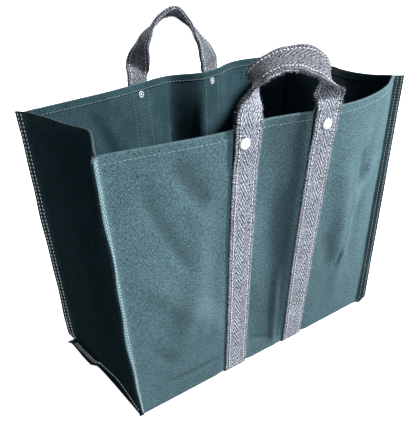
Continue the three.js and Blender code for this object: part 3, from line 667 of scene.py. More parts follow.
def cloth_object(name, surface, material):
    """A closed sheet of canvas round a surface, with rounded folds at the hems."""
    outer, inner = surface.face(True), surface.face(False)
    rows, columns = outer.shape[:2]

    def fold(row, beyond):
        away = unit(surface.middle[row] - surface.middle[beyond])
        centre = (outer[row] + inner[row]) / 2
        reach = np.linalg.norm(outer[row] - inner[row], axis=-1)[:, None] / 2
        turn = unit(outer[row] - inner[row])
        return [centre + reach * (turn * math.cos(a) + away * math.sin(a)) for a in np.radians(FOLD_ANGLES)]

    outside, inside = np.zeros(columns), np.ones(columns)
    # Inner faces take the mark of wear and painted shade turned round, so painted shade lies behind raised
    # creases and behind the edges; the inside mark puts painted shade on all inner faces and partly on the
    # hem folds.
    bands = [(outer[r], surface.threads[r], surface.wear[r], outside) for r in range(rows)]
    if surface.arcs[1]:
        bands += [(ring, surface.threads[-1], surface.wear[-1] + 0.6, inside * 0.3)
                  for ring in fold(-1, -2)]
    bands += [(inner[r], surface.threads[r], -surface.wear[r], inside) for r in range(rows - 1, -1, -1)]
    if surface.arcs[0]:
        bands += [(ring, surface.threads[0], surface.wear[0] + 0.6, inside * 0.3)
                  for ring in fold(0, 1)[::-1]]
    vertices, uv, wear, lining = (np.concatenate(parts) for parts in zip(*bands))
    count = len(bands)
    r, c = np.meshgrid(np.arange(count), np.arange(columns - 1), indexing="ij")
    a, b = r * columns + c, ((r + 1) % count) * columns + c
    quads = np.stack([a, a + 1, b + 1, b], -1).reshape(-1, 4)
    faces = list(quads)
    tail = rows + (len(FOLD_ANGLES) if surface.arcs[1] else 0)

    def mirror(row):
        return tail + rows - 1 - row

    for c, turn in ((0, 1), (columns - 1, -1)):
        for r in range(rows - 1):
            face = [row * columns + c for row in (r, r + 1, mirror(r + 1), mirror(r))]
            faces.append(face[::turn])
        if surface.arcs[1]:
            faces.append([k * columns + c for k in range(rows - 1, tail + 1)][::turn])
        if surface.arcs[0]:
            faces.append(([k * columns + c for k in range(tail + rows - 1, count)] + [c])[::turn])
    marks = {"wear": wear, "inside": lining}
    return new_object(name, vertices, faces, material, uv, marks, sharp=50)


def webbing_object(name, strap, material):
    """A closed band of webbing along a strap's run."""
    section = strap.section()
    n = len(section)
    rings = (strap.middle[:, None] + strap.across[:, None] * section[None, :, :1]
             + strap.out[:, None] * section[None, :, 1:])
    count = len(rings)
    uv = np.stack([np.repeat(section[None, :, 0], count, 0), np.repeat(strap.length[:, None], n, 1)], -1)
    r, c = np.meshgrid(np.arange(count - 1), np.arange(n), indexing="ij")
    a, b = r * n + c, r * n + (c + 1) % n
    quads = np.stack([a, b, b + n, a + n], -1).reshape(-1, 4)
    faces = [*quads, np.arange(n)[::-1], (count - 1) * n + np.arange(n)]
    return new_object(name, rings.reshape(-1, 3), faces, material, uv.reshape(-1, 2), sharp=60)


def thread_faces(count, sides):
    """Faces of many short threads, each of four rings of points and with closed ends."""
    n = sides
    first = (np.arange(count) * 4 * n)[:, None, None]
    walls = np.array([[r * n + k, r * n + (k + 1) % n, (r + 1) * n + (k + 1) % n, (r + 1) * n + k]
                      for r in range(3) for k in range(n)])
    caps = np.stack([np.arange(n)[::-1], 3 * n + np.arange(n)])
    return [*(walls[None] + first).reshape(-1, 4), *(caps[None] + first).reshape(-1, n)]


class StitchRun:
    """Collects stitches along lines and makes one joined mesh of them."""

    SIDES = 6

    def __init__(self, seed):
        self.random = np.random.default_rng(seed)
        self.parts = []

    def add(self, points, normals, pitch, length, thread, proud=0.3):
        """Lays stitches of a length and thickness along a line, one to each pitch."""
        lengths = np.concatenate([[0], np.cumsum(np.linalg.norm(np.diff(points, axis=0), axis=1))])
        count = int(lengths[-1] / pitch)
        if count < 1:
            return
        centres = (np.arange(count) + 0.5) * lengths[-1] / count
        centres = centres + self.random.uniform(-0.05, 0.05, count) * pitch
        at = np.stack([centres - length / 2, centres - length / 5,
                       centres + length / 5, centres + length / 2], 1)
        at = np.clip(at, 0, lengths[-1])
        place = np.stack([np.interp(at, lengths, points[:, k]) for k in range(3)], -1)
        normal = unit(np.stack([np.interp(centres, lengths, normals[:, k]) for k in range(3)], -1))
        run = unit(place[:, 3] - place[:, 0])
        side = unit(np.cross(normal, run))
        place = place + side[:, None] * self.random.uniform(-0.12, 0.12, (count, 1, 1))
        lift = np.array([-0.35, 1.0, 1.0, -0.35]) * proud * thread
        size = np.array([0.45, 1.0, 1.0, 0.45]) * thread / 2
        angle = np.arange(self.SIDES) * 2 * math.pi / self.SIDES
        ring = (side[:, None, None] * np.cos(angle)[None, None, :, None]
                + normal[:, None, None] * (np.sin(angle) * 0.75)[None, None, :, None])
        place = place + normal[:, None] * lift[None, :, None]
        self.parts.append(place[:, :, None] + ring * size[None, :, None, None])

    def make(self, name, material, slot):
        """Joins the stitches into one object."""
        vertices = np.concatenate(self.parts)
        count, n = len(vertices), self.SIDES
        return new_object(name, vertices.reshape(-1, 3), thread_faces(count, n), material)


def fibres_object(name, roots, directions, lengths, radius, seed, material):
    """Fine loose fibres: each is a bent three-sided thread."""
    random = np.random.default_rng(seed)
    count = len(roots)
    bends = unit(random.normal(size=(count, 3)))
    along = np.array([0.0, 0.35, 0.7, 1.0])
    line = (roots[:, None] + directions[:, None] * (along[None, :, None] * lengths[:, None, None])
            + bends[:, None] * (along ** 2)[None, :, None] * lengths[:, None, None] * 0.55)
    run = unit(line[:, 3] - line[:, 0])
    side = unit(np.cross(run, bends + 0.01))
    other = np.cross(run, side)
    angle = np.arange(3) * 2 * math.pi / 3
    taper = radius * np.array([1.0, 0.9, 0.7, 0.3])
    ring = side[:, None] * np.cos(angle)[None, :, None] + other[:, None] * np.sin(angle)[None, :, None]
    vertices = line[:, :, None] + ring[:, None] * taper[None, :, None, None]
    return new_object(name, vertices.reshape(-1, 3), thread_faces(count, 3), material)


def turned_object(name, outline, place, way, material, sides=40, closed=False):
    """A turned piece from (radius, height) pairs, with its axis along a direction."""
    turn = np.array(Vector((0, 0, 1)).rotation_difference(Vector(way)).to_matrix())
    angle = np.arange(sides) * 2 * math.pi / sides
    rings = [np.stack([r * np.cos(angle), r * np.sin(angle), np.full(sides, h)], -1) for r, h in outline]
    vertices = np.concatenate(rings) @ turn.T + place
    count = len(rings)
    faces = []
    for r in range(count if closed else count - 1):
        low, high = r * sides, ((r + 1) % count) * sides
        faces += [[low + k, low + (k + 1) % sides, high + (k + 1) % sides, high + k] for k in range(sides)]
    if not closed:
        faces += [list(range(sides))[::-1], [(count - 1) * sides + k for k in range(sides)]]
    return new_object(name, vertices, faces, material, sharp=50)


class Wire:
    """A node's output socket that arithmetic can be done on."""

    def __init__(self, finish, socket):
        self.finish, self.socket = finish, socket

    def _do(self, operation, *values):
        """A maths node on the values."""
        return self.finish.node("ShaderNodeMath", {"operation": operation}, list(values))

    def __add__(self, other):
        return self._do("ADD", self, other)

    __radd__ = __add__

    def __sub__(self, other):
        return self._do("SUBTRACT", self, other)

    def __rsub__(self, other):
        return self._do("SUBTRACT", other, self)

    def __mul__(self, other):
        return self._do("MULTIPLY", self, other)

    __rmul__ = __mul__

    def __truediv__(self, other):
        return self._do("DIVIDE", self, other)

    def __pow__(self, other):
        return self._do("POWER", self, other)

    def sin(self):
        return self._do("SINE", self)

    def abs(self):
        return self._do("ABSOLUTE", self)

    def within(self, low, high):
        """Smooth step from 0 at low to 1 at high."""
        return self.finish.node("ShaderNodeMapRange", {"interpolation_type": "SMOOTHSTEP"}, {
            "Value": self, "From Min": low, "From Max": high})

    def mirrored(self, scale):
        return self._do("PINGPONG", self, scale)


class Finish:
    """A material's node tree, built node by node."""

    def __init__(self, name):
        self.material = bpy.data.materials.new(name)
        self.material.use_nodes = True
        self.tree = self.material.node_tree
        self.tree.nodes.clear()

    def node(self, kind, settings=None, values=None, out=0):
        """Adds a node: its settings first, then the values or links of its sockets."""
        node = self.tree.nodes.new(kind)
        for name, value in (settings or {}).items():
            setattr(node, name, value)
        values = values or {}
        pairs = values.items() if isinstance(values, dict) else enumerate(values)
        for name, value in pairs:
            socket = node.inputs[name]
            if isinstance(value, Wire):
                self.tree.links.new(value.socket, socket)
            else:
                socket.default_value = value
        return Wire(self, node.outputs[out])

    def cloud(self, where, scale, detail=2.0, rough=0.5, out=0):
        return self.node("ShaderNodeTexNoise", {}, {
            "Vector": where, "Scale": scale, "Detail": detail, "Roughness": rough}, out)

    def stretched(self, where, across, along):
        return self.node("ShaderNodeMapping", {}, {"Vector": where, "Scale": (across, along, 1.0)})

    def blend(self, share, one, two):
        """Colour that goes from one to two as the share goes from 0 to 1."""
        return self.node("ShaderNodeMix", {"data_type": "RGBA"}, {0: share, 6: one, 7: two}, out=2)

    def place(self):
        return self.node("ShaderNodeTexCoord", out="Object")

    def threads(self):
        """The across and along places on a woven piece, in metres."""
        uv = self.node("ShaderNodeUVMap", {"uv_map": "Threads"})
        s, t, _ = self.split(uv)
        return uv, s, t

    def split(self, vector):
        """The three parts of a vector."""
        node = self.node("ShaderNodeSeparateXYZ", {}, [vector]).socket.node
        return [Wire(self, socket) for socket in node.outputs]

    def mark(self, name):
        """A value that the mesh carries for each of its points."""
        return self.node("ShaderNodeAttribute", {"attribute_name": name}, out="Fac")

    def bump(self, height, distance, strength=1.0, normal=None):
        values = {"Height": height, "Distance": distance, "Strength": strength}
        if normal is not None:
            values["Normal"] = normal
        return self.node("ShaderNodeBump", {}, values)

    def close(self, **values):
        shader = self.node("ShaderNodeBsdfPrincipled", {}, {
            name.replace("_", " "): value for name, value in values.items()}, out=0)
        output = self.tree.nodes.new("ShaderNodeOutputMaterial")
        self.tree.links.new(shader.socket, output.inputs["Surface"])
        return self.material


def rgba(colour):
    """The colour with full alpha."""
    return (*colour, 1.0)


def shade(colour, factor):
    """The colour times a factor, with full alpha."""
    return tuple(min(1.0, part * factor) for part in colour) + (1.0,)


def canvas_finish(name, settings, tone=1.0):
    """Waxed cotton duck: plain weave, flecked yarn, soft mottling and pale worn creases, with painted shade:
    darker towards the bottom, in pressed-in creases and on the inside faces; a tone below 1 makes a darker
    copy as painted shade.
    """
    finish = Finish(name)
    uv, s, t = finish.threads()
    where = finish.place()
    turn = math.pi / settings.weave_pitch
    slub = finish.cloud(uv, 420.0, 2.0)
    weave = (s * turn + slub * 1.4).sin() * (t * turn + slub * 1.4).sin()
    grain = finish.cloud(where, 900.0, 2.0, 0.8)
    fleck = finish.cloud(uv, 1100.0, 2.0, 0.6)
    across = finish.cloud(finish.stretched(uv, 260.0, 1100.0), 1.0, 2.0, 0.6)
    upward = finish.cloud(finish.stretched(uv, 1100.0, 260.0), 1.0, 2.0, 0.6)
    mottle = finish.cloud(where, 28.0, 4.0, 0.55)
    patch = finish.cloud(where, 9.0, 2.0, 0.5)
    worn, inside = finish.mark("wear"), finish.mark("inside")
    yarn = (grain + across * 0.6 + upward * 0.6 - 1.1) * 4.6
    cloudy = (mottle - 0.5) * 1.1 + (patch - 0.5) * 0.7
    level = 0.5 + yarn * settings.grain + cloudy * settings.mottling
    deep, bright = shade(settings.colour, tone * 0.35), shade(settings.colour, tone * 1.65)
    colour = finish.blend(level.within(0.0, 1.0), deep, bright)
    # Painted shade: the canvas is darker towards the bottom.
    low = 1 - finish.split(where)[2].within(0.02, 0.26)
    colour = finish.blend(low * 0.3, colour, shade(settings.colour, tone * 0.45))
    pale = shade(settings.worn_colour, tone)
    colour = finish.blend(worn.within(0.25, 1.2) * (0.05 + grain * 0.42), colour, pale)
    # Painted shade where the mark of wear and shade is negative: in pressed-in creases, hollows seen from
    # inside and on the right front flange.
    colour = finish.blend((worn * -1.0).within(0.2, 1.0) * 0.6, colour, deep)
    colour = finish.blend(fleck.within(0.56, 0.72) * 0.5, colour, pale)
    # Painted shade: the inside faces are darkened towards a dark colour, unevenly with the mottling.
    painted_inside_shade = (settings.inside - cloudy * 0.3 - yarn * 0.06).within(0.0, 1.0)
    colour = finish.blend(inside * painted_inside_shade, colour, rgba(settings.inside_shade_colour))
    normal = finish.bump(mottle, 0.0012, 0.5)
    normal = finish.bump(grain + across * 0.4 + upward * 0.4, 0.0005, 0.5, normal)
    normal = finish.bump(weave, 0.00018, 0.6, normal)
    return finish.close(Base_Color=colour, Roughness=0.84 + grain * 0.12, Normal=normal,
                        Specular_IOR_Level=0.2)


def webbing_finish(name, settings, tone=1.0):
    """Cotton herringbone: zigzag ribs of pale yarn with dark threads between, ladder selvedges."""
    finish = Finish(name)
    uv, s, t = finish.threads()
    where = finish.place()
    wobble = finish.cloud(uv, 300.0, 2.0)
    zigzag = (s + 1.0).mirrored(settings.rib_width)
    lines = ((t + zigzag * settings.rib_slope) * (2 * math.pi / settings.line_pitch) + wobble * 3.0).sin()
    edge = s.abs().within(0.0148, 0.0156)
    ladder = (t * (2 * math.pi / 0.0032) + wobble * 3.0).sin()
    groove = 1 - (s.abs() - 0.0148).abs().within(0.0, 0.0012)
    yarn = lines * (1 - edge) + ladder * edge
    twist = ((s + t) * (2 * math.pi / settings.yarn_pitch)).sin()
    fleck = finish.cloud(uv, 700.0, 2.0, 0.7)
    grain = finish.cloud(where, 380.0, 3.0, 0.8)
    patch = finish.cloud(where, 22.0, 2.0)
    light, dark = shade(settings.light_colour, tone), shade(settings.dark_colour, tone)
    mask = yarn * 0.34 + 0.42 + (fleck - 0.5) * 4.6 + (grain - 0.5) * 3.6 - groove * 0.5
    colour = finish.blend(mask.within(0.15, 0.72), dark, light)
    colour = finish.blend(patch.within(0.35, 0.7) * 0.2, colour, shade(settings.dark_colour, tone * 1.3))
    height = yarn * 0.5 + twist * 0.12 + grain * 0.5 - groove * 0.4
    normal = finish.bump(height, 0.0008, 0.9)
    normal = finish.bump(fleck, 0.0004, 0.6, normal)
    return finish.close(Base_Color=colour, Roughness=0.9, Normal=normal)


def thread_finish(name, colour, glow):
    """Twisted sewing thread that glows a little with its own light, painted light so that it reads in deep
    shade.
    """
    finish = Finish(name)
    where = finish.place()
    twist = finish.node("ShaderNodeTexWave", {"wave_type": "BANDS", "bands_direction": "DIAGONAL"}, {
        "Vector": where, "Scale": 900.0, "Distortion": 2.0})
    soil = finish.cloud(where, 90.0, 2.0)
    tint = finish.blend(soil.within(0.35, 0.75) * 0.5, rgba(colour), shade(colour, 0.55))
    # Painted light: the thread glows in its own colour.
    return finish.close(Base_Color=tint, Roughness=0.75, Normal=finish.bump(twist, 0.0002, 0.6),
                        Emission_Color=rgba(colour), Emission_Strength=glow)


def rivet_finish(name, colour):
    """Pale plated metal with fine handling marks, darkened in its hollows by painted shade."""
    finish = Finish(name)
    where = finish.place()
    marks = finish.cloud(where, 500.0, 4.0, 0.7)
    # Painted shade: the metal is darkened in its hollows.
    painted_hollow_shade = finish.node("ShaderNodeAmbientOcclusion", {"samples": 8}, {"Distance": 0.0015}, out="AO")
    tint = finish.blend(marks.within(0.45, 0.8) * 0.2, rgba(colour), shade(colour, 0.7))
    tint = finish.blend(painted_hollow_shade.within(0.25, 0.75), shade(colour, 0.05), tint)
    bump = finish.bump(marks, 0.00005, 0.4)
    return finish.close(Base_Color=tint, Roughness=0.35 + marks * 0.25, Metallic=0.1, Normal=bump)


def studio_finish(name, colour, glow):
    """Matt white studio paper that stays white under soft light."""
    finish = Finish(name)
    return finish.close(Base_Color=rgba(colour), Roughness=0.95,
                        Emission_Color=rgba(colour), Emission_Strength=glow)


def material(name, make, *values):
    """The material of that name, made the first time it is asked for."""
    return bpy.data.materials.get(name) or make(name, *values)


def canvas_material(scene, tone=1.0):
    # A tone below 1 gives a darker copy of the canvas, painted shade for the gussets.
    label = "Canvas" if tone == 1.0 else "Canvas side"
    return material(label, canvas_finish, scene.bag_canvas, tone)


def webbing_material(scene, lining=False):
    if lining:
        return material("Webbing lining", webbing_finish, scene.bag_webbing, scene.bag_webbing.lining_tone)
    return material("Webbing", webbing_finish, scene.bag_webbing)


def thread_material(scene, kind):
    """The thread of the seams, the gussets' seams, the hems, the gussets' hems or the webbing."""
    stitch = scene.bag_stitch
    # Painted light: the seams' threads glow with their own light, the gussets' seams most.
    tint, glow = {"seam": (stitch.colour, stitch.glow * 0.7), "gusset": (stitch.colour, stitch.glow),
                  "hem": (stitch.hem_colour, 0.0), "gusset hem": (stitch.gusset_colour, 0.0),
                  "webbing": (stitch.colour, 0.0)}[kind]
    return material(f"Thread of {kind}", thread_finish, tint, glow)


def length(name, description, value, soft_max=1.0):
    return FloatProperty(name=name, description=description, default=value, min=0.0001,
                         soft_max=soft_max, subtype="DISTANCE", unit="LENGTH", precision=4)


def amount(name, description, value, low=0.0, **more):
    return FloatProperty(name=name, description=description, default=value, min=low, **more)


def tint(name, description, value):
    return FloatVectorProperty(name=name, description=description, default=value, min=0.0, max=1.0,
                               size=3, subtype="COLOR")


class BAG_PG_canvas(bpy.types.PropertyGroup):
    base_length: length("Base length", "Length of the bottom", 0.429)
    base_depth: length("Base depth", "Depth of the bottom", 0.218)
    base_shift: length("Base shift", "How far the bottom lies towards the right", 0.0025)
    mouth_length: length("Mouth length", "Length of the open mouth", 0.493)
    mouth_depth: length("Mouth depth", "Depth of the open mouth at its corners", 0.240)
    mouth_shift: length("Mouth shift", "How far the mouth has swung to the right", 0.017)
    height: length("Height", "Height of the hem above the floor", 0.392)
    thickness: length("Canvas thickness", "Thickness of one layer of canvas", 0.0015, 0.005)
    hem_height: length("Hem height", "Height of the folded hem", 0.011, 0.05)
    flange: length("Seam allowance", "Width of the upright seams' allowance", 0.015, 0.05)
    foot_flange: length("Foot allowance", "Width of the allowance at a gusset's foot", 0.013, 0.05)
    weave_pitch: length("Weave pitch", "Distance between two yarns of the canvas", 0.0011, 0.01)
    grain: amount("Grain", "Unevenness of the yarns' colour", 0.85, max=1.0)
    mottling: amount("Mottling", "Unevenness of the dye", 0.42, max=1.0)
    # Painted shade: share by which the inside of the bag is darkened towards the inside colour.
    inside: amount("Inside", "How much darker the inside is", 0.7, max=1.0)
    colour: tint("Canvas colour", "Colour of the dyed canvas", (0.055, 0.102, 0.12))
    inside_shade_colour: tint("Inside colour", "Colour that the inside is darkened with", (0.0005, 0.0165, 0.023))
    worn_colour: tint("Worn colour", "Colour of worn creases and edges", (0.15, 0.23, 0.255))


class BAG_PG_webbing(bpy.types.PropertyGroup):
    width: length("Webbing width", "Width of the webbing", 0.038, 0.1)
    thickness: length("Webbing thickness", "Thickness of one layer of webbing", 0.0025, 0.01)
    spacing: length("Strap spacing", "Distance that the straps' places are shares of", 0.118)
    front_rise: length("Front handle rise", "Height of the front handle above the hem", 0.072)
    back_rise: length("Back handle rise", "Height of the back handle above the hem", 0.103)
    rib_width: length("Rib width", "Width of one herringbone rib", 0.0095, 0.02)
    rib_slope: amount("Rib slope", "Rise of the herringbone's lines", 2.0)
    line_pitch: length("Line pitch", "Distance between two dark threads along a rib", 0.0078, 0.02)
    yarn_pitch: length("Yarn pitch", "Distance between two yarns across the webbing", 0.0013, 0.01)
    lining_tone: amount("Lining tone", "Tone of the handles' inner layer", 0.55)
    light_colour: tint("Pale yarn", "Colour of the pale yarn", (0.385, 0.41, 0.48))
    dark_colour: tint("Dark yarn", "Colour of the dark yarn", (0.022, 0.025, 0.032))


class BAG_PG_stitch(bpy.types.PropertyGroup):
    pitch: length("Stitch pitch", "Distance from stitch to stitch", 0.0056, 0.02)
    stitch: length("Stitch length", "Length of one stitch", 0.0042, 0.02)
    thread: length("Thread thickness", "Thickness of the sewing thread", 0.0009, 0.005)
    colour: tint("Thread colour", "Colour of the seams' thread", (0.74, 0.79, 0.81))
    # Painted light: strength of the seams' thread's own glow.
    glow: amount("Glow", "Brightening of the seams' thread", 0.5)
    gusset_colour: tint("Gusset hem colour", "Colour of the thread in the gussets' hems", (0.07, 0.11, 0.12))
    hem_colour: tint("Hem thread colour", "Colour of the hems' thread", (0.26, 0.33, 0.35))


class BAG_PG_rivet(bpy.types.PropertyGroup):
    head_radius: length("Head radius", "Radius of a rivet's domed head", 0.0074, 0.02)
    head_height: length("Head height", "Height of a rivet's domed head", 0.0026, 0.02)
    burr_radius: length("Burr radius", "Radius of a rivet's burr", 0.0052, 0.02)
    sides: IntProperty(name="Sides", description="Facets round a turned piece", default=40, min=8, max=96)
    colour: tint("Rivet colour", "Colour of the rivets", (0.93, 0.93, 0.94))
    burr_colour: tint("Burr colour", "Colour of the burrs", (0.5, 0.52, 0.54))


class BAG_PG_stage(bpy.types.PropertyGroup):
    floor_colour: tint("Floor colour", "Colour of the studio floor", (0.97, 0.97, 0.97))
    glow: amount("Floor glow", "Own light of the studio paper", 0.98, max=4.0)
    key: amount("Key light", "Power of the key light", 172.0, subtype="POWER", unit="POWER")
    front: amount("Front light", "Power of the low light from the front", 46.0, subtype="POWER", unit="POWER")
    fill: amount("Fill light", "Strength of the surrounding light", 0.14, max=4.0)
    lens: amount("Lens", "Focal length of the camera", 49.55, 10.0, subtype="DISTANCE_CAMERA", unit="CAMERA")


class BAG_OT_body(bpy.types.Operator):
    """Make the canvas from the front hem under the base to the back hem"""
    bl_idname = "bag.body"
    bl_label = "Canvas body"

    def execute(self, context):
        shape = BagShape(context.scene)
        surface = shape.body()
        obj = cloth_object("canvas_body", surface, canvas_material(context.scene))
        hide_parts("body_canvas")
        flat, area = sheet_size(surface, surface.middle.shape[1] // 2, 2 * shape.hem)
        return {"FINISHED"}


def sheet_size(surface, column, hems):
    """Widest and longest run over a surface's middle, in metres, and its area in square metres."""
    wide = float(np.linalg.norm(np.diff(surface.middle, axis=1), axis=-1).sum(1).max())
    tall = float(np.linalg.norm(np.diff(surface.middle[:, column], axis=0), axis=1).sum()) + hems
    one = surface.middle[1:, 1:] - surface.middle[:-1, :-1]
    two = surface.middle[1:, :-1] - surface.middle[:-1, 1:]
    area = float(np.linalg.norm(np.cross(one, two), axis=-1).sum() / 2)
    return (round(wide * MM, 4), round(tall * MM, 4)), round(area * MM * MM, 5)


class BAG_OT_gussets(bpy.types.Operator):
    """Make the two side panels with their seams"""
    bl_idname = "bag.gussets"
    bl_label = "Gussets"

    def execute(self, context):
        shape = BagShape(context.scene)
        for side, hand in ((-1, "left"), (1, "right")):
            surface = shape.gusset(side)
            # The gussets take a darker copy of the canvas: painted shade.
            obj = cloth_object(f"canvas_gusset_{hand}", surface, canvas_material(context.scene, 0.55))
            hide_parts(f"gusset_{hand}")
            flat, area = sheet_size(surface, GUSSET_COLUMNS // 2, shape.hem)
        return {"FINISHED"}


def liner_of(shape, strap, end):
    """The doubling layer on the inside of a handle."""
    first, last = strap.hem_rows
    lengths = strap.length
    start = int(np.searchsorted(lengths, lengths[first] - LINER_DROP))
    stop = int(np.searchsorted(lengths, lengths[last] + LINER_DROP)) + 1
    aside = np.zeros(stop - start)
    if end < 0:
        aside = -3.2 * (1 - step(lengths[start:stop] - lengths[start], 6, 60))
    return strap.part(start, stop, shape.webbing + GAP, aside)


class BAG_OT_webbing(bpy.types.Operator):
    """Make the straps and the doubling layers of the handles"""
    bl_idname = "bag.webbing"
    bl_label = "Webbing"

    def execute(self, context):
        shape = BagShape(context.scene)
        for end, name in ((-1, "front"), (1, "back")):
            strap = shape.strap(end)
            obj = webbing_object(f"strap_{name}", strap, webbing_material(context.scene))
            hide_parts(f"webbing_{name}")
            finish = webbing_material(context.scene, lining=True)
            liner = webbing_object(f"handle_lining_{name}", liner_of(shape, strap, end), finish)
            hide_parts(f"liner_{name}")
        return {"FINISHED"}


def columns_off(share):
    """Columns from a seam to a share of its allowance, with their fraction."""
    return float(np.interp(share, (0,) + FLANGE_SHARES, np.arange(len(FLANGE_SHARES) + 1)))


class BAG_OT_stitches(bpy.types.Operator):
    """Sew the hems, the seams and the webbing"""
    bl_idname = "bag.stitches"
    bl_label = "Stitching"

    def execute(self, context):
        scene = context.scene
        shape = BagShape(scene)
        stitch = scene.bag_stitch
        for sew in (self.sew_canvas, self.sew_gussets, self.sew_webbing):
            sew(scene, shape, stitch.pitch / MM, stitch.stitch / MM, stitch.thread / MM)
        return {"FINISHED"}

    def sew_canvas(self, scene, shape, pitch, size, thread):
        surface = shape.body()
        rows, columns = surface.middle.shape[:2]
        n = len(FLANGE_SHARES)
        run, hems = StitchRun(11), StitchRun(12)
        breaks = [n + 1]
        for left, _, right in shape.strap_columns:
            breaks += [n + left, n + right]
        breaks.append(columns - n - 2)
        drops = (shape.hem - HEM_STITCHES, shape.hem + 2, shape.height - 8)
        for back in (False, True):
            hem, top, foot = (rows - 1 - shape.row_of(drop) if back else shape.row_of(drop) for drop in drops)
            for low, high in zip(breaks[::2], breaks[1::2]):
                cols = np.arange(low, high + 1)
                hems.add(*surface.trace(hem, cols), pitch, size, thread * 0.85)
            cols = np.arange(breaks[0], breaks[-1] + 1)
            hems.add(*surface.trace(hem, cols, False), pitch, size, thread * 0.85)
            for left, _, right in shape.strap_columns:
                for column in (n + left + 1.0, n + right - 1.0):
                    line = surface.trace(np.linspace(top, foot, 90), column, False)
                    hems.add(*line, pitch, size * 0.8, thread * 0.7)
        panel = len(shape.drops)
        for side in (-1, 1):
            for share in STITCH_SHARES:
                off = columns_off(share)
                column = n - off if side < 0 else columns - 1 - n + off
                for low, high, finer in ((0.6, panel + 1, 0.8), (rows - panel - 2, rows - 1.6, 1.08)):
                    line = surface.trace(np.linspace(low, high, 160), column)
                    run.add(*line, pitch * finer, size * finer * 0.85, thread * finer ** 2 * 0.8)
        run.make("stitching_seams", thread_material(scene, "seam"), "canvas")
        hems.make("stitching_hems", thread_material(scene, "hem"), "canvas")

    def sew_gussets(self, scene, shape, pitch, size, thread):
        run, hems = StitchRun(23), StitchRun(24)
        n = len(FLANGE_SHARES)
        for side in (-1, 1):
            surface = shape.gusset(side)
            rows, columns = surface.middle.shape[:2]
            cols, hem = np.arange(n + 1, columns - n - 1), shape.row_of(shape.hem - HEM_STITCHES)
            hems.add(*surface.trace(hem, cols), pitch, size, thread * 0.8)
            hems.add(*surface.trace(hem, cols, False), pitch, size, thread * 0.7)
            lines = []
            for off in map(columns_off, STITCH_SHARES):
                for column in (n - off, columns - 1 - n + off):
                    lines.append((np.linspace(0.6, len(shape.drops) - 0.5, 150), column))
            foot, cols = rows - 1 - n + columns_off(0.5), np.arange(n + 2, columns - n - 2)
            lines += [(foot, cols), (foot + 1.2, cols[-22:] if side < 0 else cols[:22])]
            for line in lines:
                run.add(*surface.trace(*line), pitch * 1.08, size * 0.85, thread)
        run.make("stitching_gussets", thread_material(scene, "gusset"), "canvas")
        hems.make("stitching_gusset_hems", thread_material(scene, "gusset hem"), "canvas")

    def sew_webbing(self, scene, shape, pitch, size, thread):
        run = StitchRun(37)
        inset = shape.width / 2 * 0.7
        for end in (-1, 1):
            strap = shape.strap(end)
            liner = liner_of(shape, strap, end)
            for aside in (-inset, inset):
                run.add(*strap.line(aside), pitch * 0.95, size * 0.92, thread * 1.45)
                run.add(*liner.line(aside, False), pitch * 0.95, size * 0.92, thread * 1.45)
        run.make("stitching_webbing", thread_material(scene, "webbing"), "webbing")


class BAG_OT_fibres(bpy.types.Operator):
    """Raise the loose fibres of the handles and the straps' edges"""
    bl_idname = "bag.fibres"
    bl_label = "Loose fibres"

    def execute(self, context):
        scene = context.scene
        shape = BagShape(scene)
        random = np.random.default_rng(5)
        roots, ways, lengths = [], [], []
        for end in (-1, 1):
            strap = shape.strap(end)
            first, last = strap.hem_rows
            handle, legs = (first, last, 2600), ((40, first, 500), (last, len(strap.middle) - 40, 500))
            for low, high, count in (handle, *legs):
                rows = random.uniform(low, high - 1, count)
                k = rows.astype(int)
                edge = random.choice([-1.0, 1.0], count)
                at_edge = random.random(count) < 0.6
                spread = np.where(at_edge, edge * random.uniform(0.9, 1.0, count),
                                  random.uniform(-1, 1, count))
                face = random.choice([-1.0, 1.0], count)
                face = np.where((k < first) | (k > last), 1.0, face)
                deep = np.where(face < 0, 1.5 * shape.webbing + GAP, 0.5 * shape.webbing)
                across, out = strap.across[k], strap.out[k]
                roots.append(strap.middle[k] + across * (spread * strap.width / 2)[:, None]
                             + out * (face * deep * 0.95)[:, None])
                ways.append(unit(across * (spread ** 3)[:, None] * 1.6 + out * face[:, None] * 0.8
                                 + random.normal(size=(count, 3)) * 0.6))
                lengths.append(random.uniform(0.8, 2.6, count))
        self.fray(scene, shape, random)
        fibres_object("webbing_fibres", np.concatenate(roots), np.concatenate(ways), np.concatenate(lengths),
                      0.15, 7, webbing_material(scene))
        return {"FINISHED"}

    def fray(self, scene, shape, random):
        """Raises raw threads at the tops of the seams' allowances and at one end of the front lining."""
        surface = shape.body()
        roots, ways = [], []
        for row in (0, -1):
            for tip, next_in in ((0, 2), (-1, -3)):
                corner, inner = surface.middle[row, tip], surface.middle[row, next_in]
                share = random.uniform(0, 1, 16)[:, None]
                roots.append(mix(corner, inner, share) + random.normal(size=(16, 3)) * 0.4)
                ways.append(unit(unit(corner - inner) * 0.9 + np.array([0, 0, 0.9])
                                 + random.normal(size=(16, 3)) * 0.6))
        liner = liner_of(shape, shape.strap(-1), -1)
        spread = random.uniform(-1, 1, 40)[:, None] * liner.width / 2
        roots.append(liner.middle[0] + liner.across[0] * spread)
        ways.append(unit(liner.middle[0] - liner.middle[4] + random.normal(size=(40, 3)) * 1.5))
        count = sum(len(part) for part in roots)
        fibres_object("frayed_threads", np.concatenate(roots), np.concatenate(ways),
                      random.uniform(2, 6, count), 0.22, 9, thread_material(scene, "hem"))


